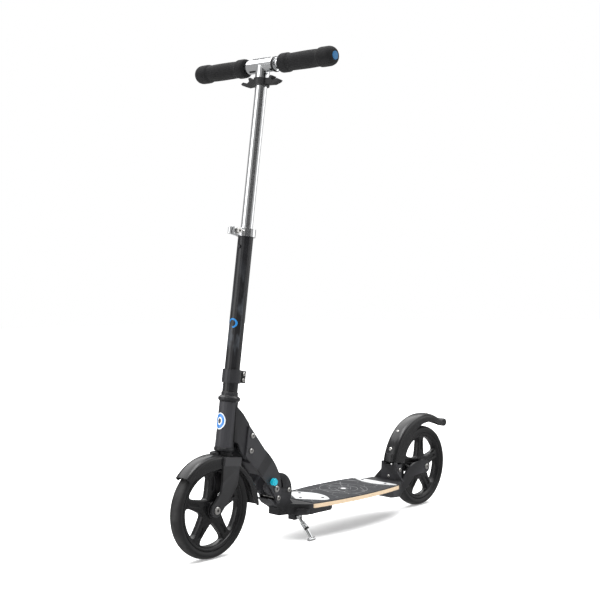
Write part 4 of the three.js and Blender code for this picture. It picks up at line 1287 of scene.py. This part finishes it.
@dataclass
class Studio:
    """Pale floor, even sky, daylight, softboxes, a dark card and the camera."""

    lens: float = 63.755
    eye: tuple[float, float, float] = (1496.6255, 1525.083, 578.469)
    turn: tuple[float, float, float] = (0.7930353384215924, 1.685605485967973, 1.74619843970271)
    boxes: tuple[Softbox, ...] = (
        Softbox("overhead", (0.5, 0.5, 3.0), (0.0, 0.0, 0.3), (0.9, 2.4), 42.0),
        Softbox("left_panel", (2.9, -0.9, 1.3), (0.0, 0.0, 0.6), (2.4, 2.6), 36.0),
        Softbox("right_panel", (-2.3, 2.2, 1.3), (0.0, 0.0, 0.6), (2.4, 2.6), 22.0),
    )
    surround: float = 0.38
    daylight: float = 4.3
    daylight_spread: float = 85.0
    daylight_turn: tuple[float, float, float] = (12.0, -8.0, 0.0)
    floor_reach: float = 30.0
    floor_drop: float = 0.0004
    card_radius: float = 3.4
    card_top: float = 2.6
    card_start: float = 38.0
    card_sweep: float = 52.0
    card_steps: int = 16

    def build(self) -> None:
        """Builds the set."""
        self.floor()
        self.sky()
        self.sun()
        for box in self.boxes:
            self.light(box)
        self.card()
        self.camera()

    @staticmethod
    def surface(name: str, shape: bmesh.types.BMesh, bench: Bench) -> bpy.types.Object:
        """Returns a piece of the set, made from a mesh that is used up.

        Args:
            name: The piece's name.
            shape: The mesh, in the model's metres.
            bench: The bench that holds its material.
        """
        data = bpy.data.meshes.new(name)
        shape.to_mesh(data)
        shape.free()
        data.materials.append(bench.material)
        obj = bpy.data.objects.new(name, data)
        bpy.context.scene.collection.objects.link(obj)
        return obj

    def floor(self) -> None:
        """Builds the floor."""
        shape = bmesh.new()
        reach, low = self.floor_reach, -self.floor_drop
        corners = ((-reach, -reach), (reach, -reach), (reach, reach), (-reach, reach))
        shape.faces.new([shape.verts.new((x, y, low)) for x, y in corners])
        bench = Bench("studio_floor_paint")
        bench.set(Base_Color=(0.93, 0.93, 0.93), Roughness=0.9, Specular_IOR_Level=0.1)
        bench.set(Emission_Color=(1.0, 1.0, 1.0), Emission_Strength=0.3)
        self.surface("studio_floor", shape, bench).visible_glossy = False

    def sky(self) -> None:
        """Sets an even surround that is white to the camera and greyer to the scooter."""
        world = bpy.data.worlds.new("studio")
        bpy.context.scene.world = world
        world.use_nodes = True
        tree = world.node_tree
        background = tree.nodes["Background"]
        background.inputs["Color"].default_value = (1.0, 1.0, 1.0, 1.0)
        path = tree.nodes.new("ShaderNodeLightPath")
        level = tree.nodes.new("ShaderNodeMapRange")
        level.inputs["To Min"].default_value = self.surround
        level.inputs["To Max"].default_value = 1.0
        tree.links.new(path.outputs["Is Camera Ray"], level.inputs["Value"])
        tree.links.new(level.outputs["Result"], background.inputs["Strength"])
        bpy.context.scene.view_settings.view_transform = "Standard"

    @staticmethod
    def lamp(name: str, kind: str, power: float) -> bpy.types.Object:
        """Returns a new light of a kind, which the camera doesn't see."""
        data = bpy.data.lights.new(name, kind)
        data.energy = power
        obj = bpy.data.objects.new(name, data)
        obj.visible_camera = False
        bpy.context.scene.collection.objects.link(obj)
        return obj

    def light(self, box: Softbox) -> None:
        """Adds one softbox."""
        obj = self.lamp(box.name, "AREA", box.power)
        obj.data.shape = "RECTANGLE"
        obj.data.size, obj.data.size_y = box.size
        obj.location = box.place
        way = Vector(box.target) - Vector(box.place)
        obj.rotation_euler = way.to_track_quat("-Z", "Y").to_euler()

    def sun(self) -> None:
        """Adds the wide soft light from above that keeps the floor even."""
        obj = self.lamp("daylight", "SUN", self.daylight)
        obj.data.angle = math.radians(self.daylight_spread)
        obj.rotation_euler = [math.radians(turn) for turn in self.daylight_turn]

    def card(self) -> None:
        """Adds a dark upright card that only polished metal sees."""
        shape = bmesh.new()
        columns = []
        for k in range(self.card_steps + 1):
            angle = math.radians(self.card_start + self.card_sweep * k / self.card_steps)
            x, y = self.card_radius * math.cos(angle) + 0.3, self.card_radius * math.sin(angle)
            columns.append([shape.verts.new((x, y, z)) for z in (0.0, self.card_top)])
        for first, second in zip(columns, columns[1:]):
            shape.faces.new([first[0], second[0], second[1], first[1]])
        bench = Bench("dark_card_felt")
        bench.set(Base_Color=(0.06, 0.06, 0.06), Roughness=1.0, Specular_IOR_Level=0.0)
        obj = self.surface("dark_card", shape, bench)
        obj.visible_camera = obj.visible_diffuse = obj.visible_shadow = False

    def camera(self) -> None:
        """Adds the camera, placed in the upright frame's millimetres."""
        lens = bpy.data.cameras.new("camera")
        lens.lens, lens.sensor_width = self.lens, 36.0
        lens.clip_end = 200.0
        obj = bpy.data.objects.new("camera", lens)
        bpy.context.scene.collection.objects.link(obj)
        angle = Vector(self.turn).length
        own = Quaternion(Vector(self.turn).normalized(), angle).to_matrix().to_4x4()
        frame_turn = Matrix((UPRIGHT.ahead, UPRIGHT.left, UPRIGHT.up)).transposed().to_4x4()
        obj.matrix_world = Matrix.Translation(UPRIGHT.point(*self.eye)) @ frame_turn @ own
        bpy.context.scene.camera = obj


def main() -> None:
    """Builds the scooter's visible model and its studio."""
    logging.basicConfig(level=logging.INFO, format="%(message)s")
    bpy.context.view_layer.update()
    Studio().build()
    wheels = (Wheel("front"), Wheel("rear"))
    for part in (*wheels, Deck(), RearBrake(), Stand(), Neck(), SteeringColumn(), Handlebar()):
        LOG.info("building %s", type(part).__name__)
        part.build()


if __name__ == "__main__":
    main()
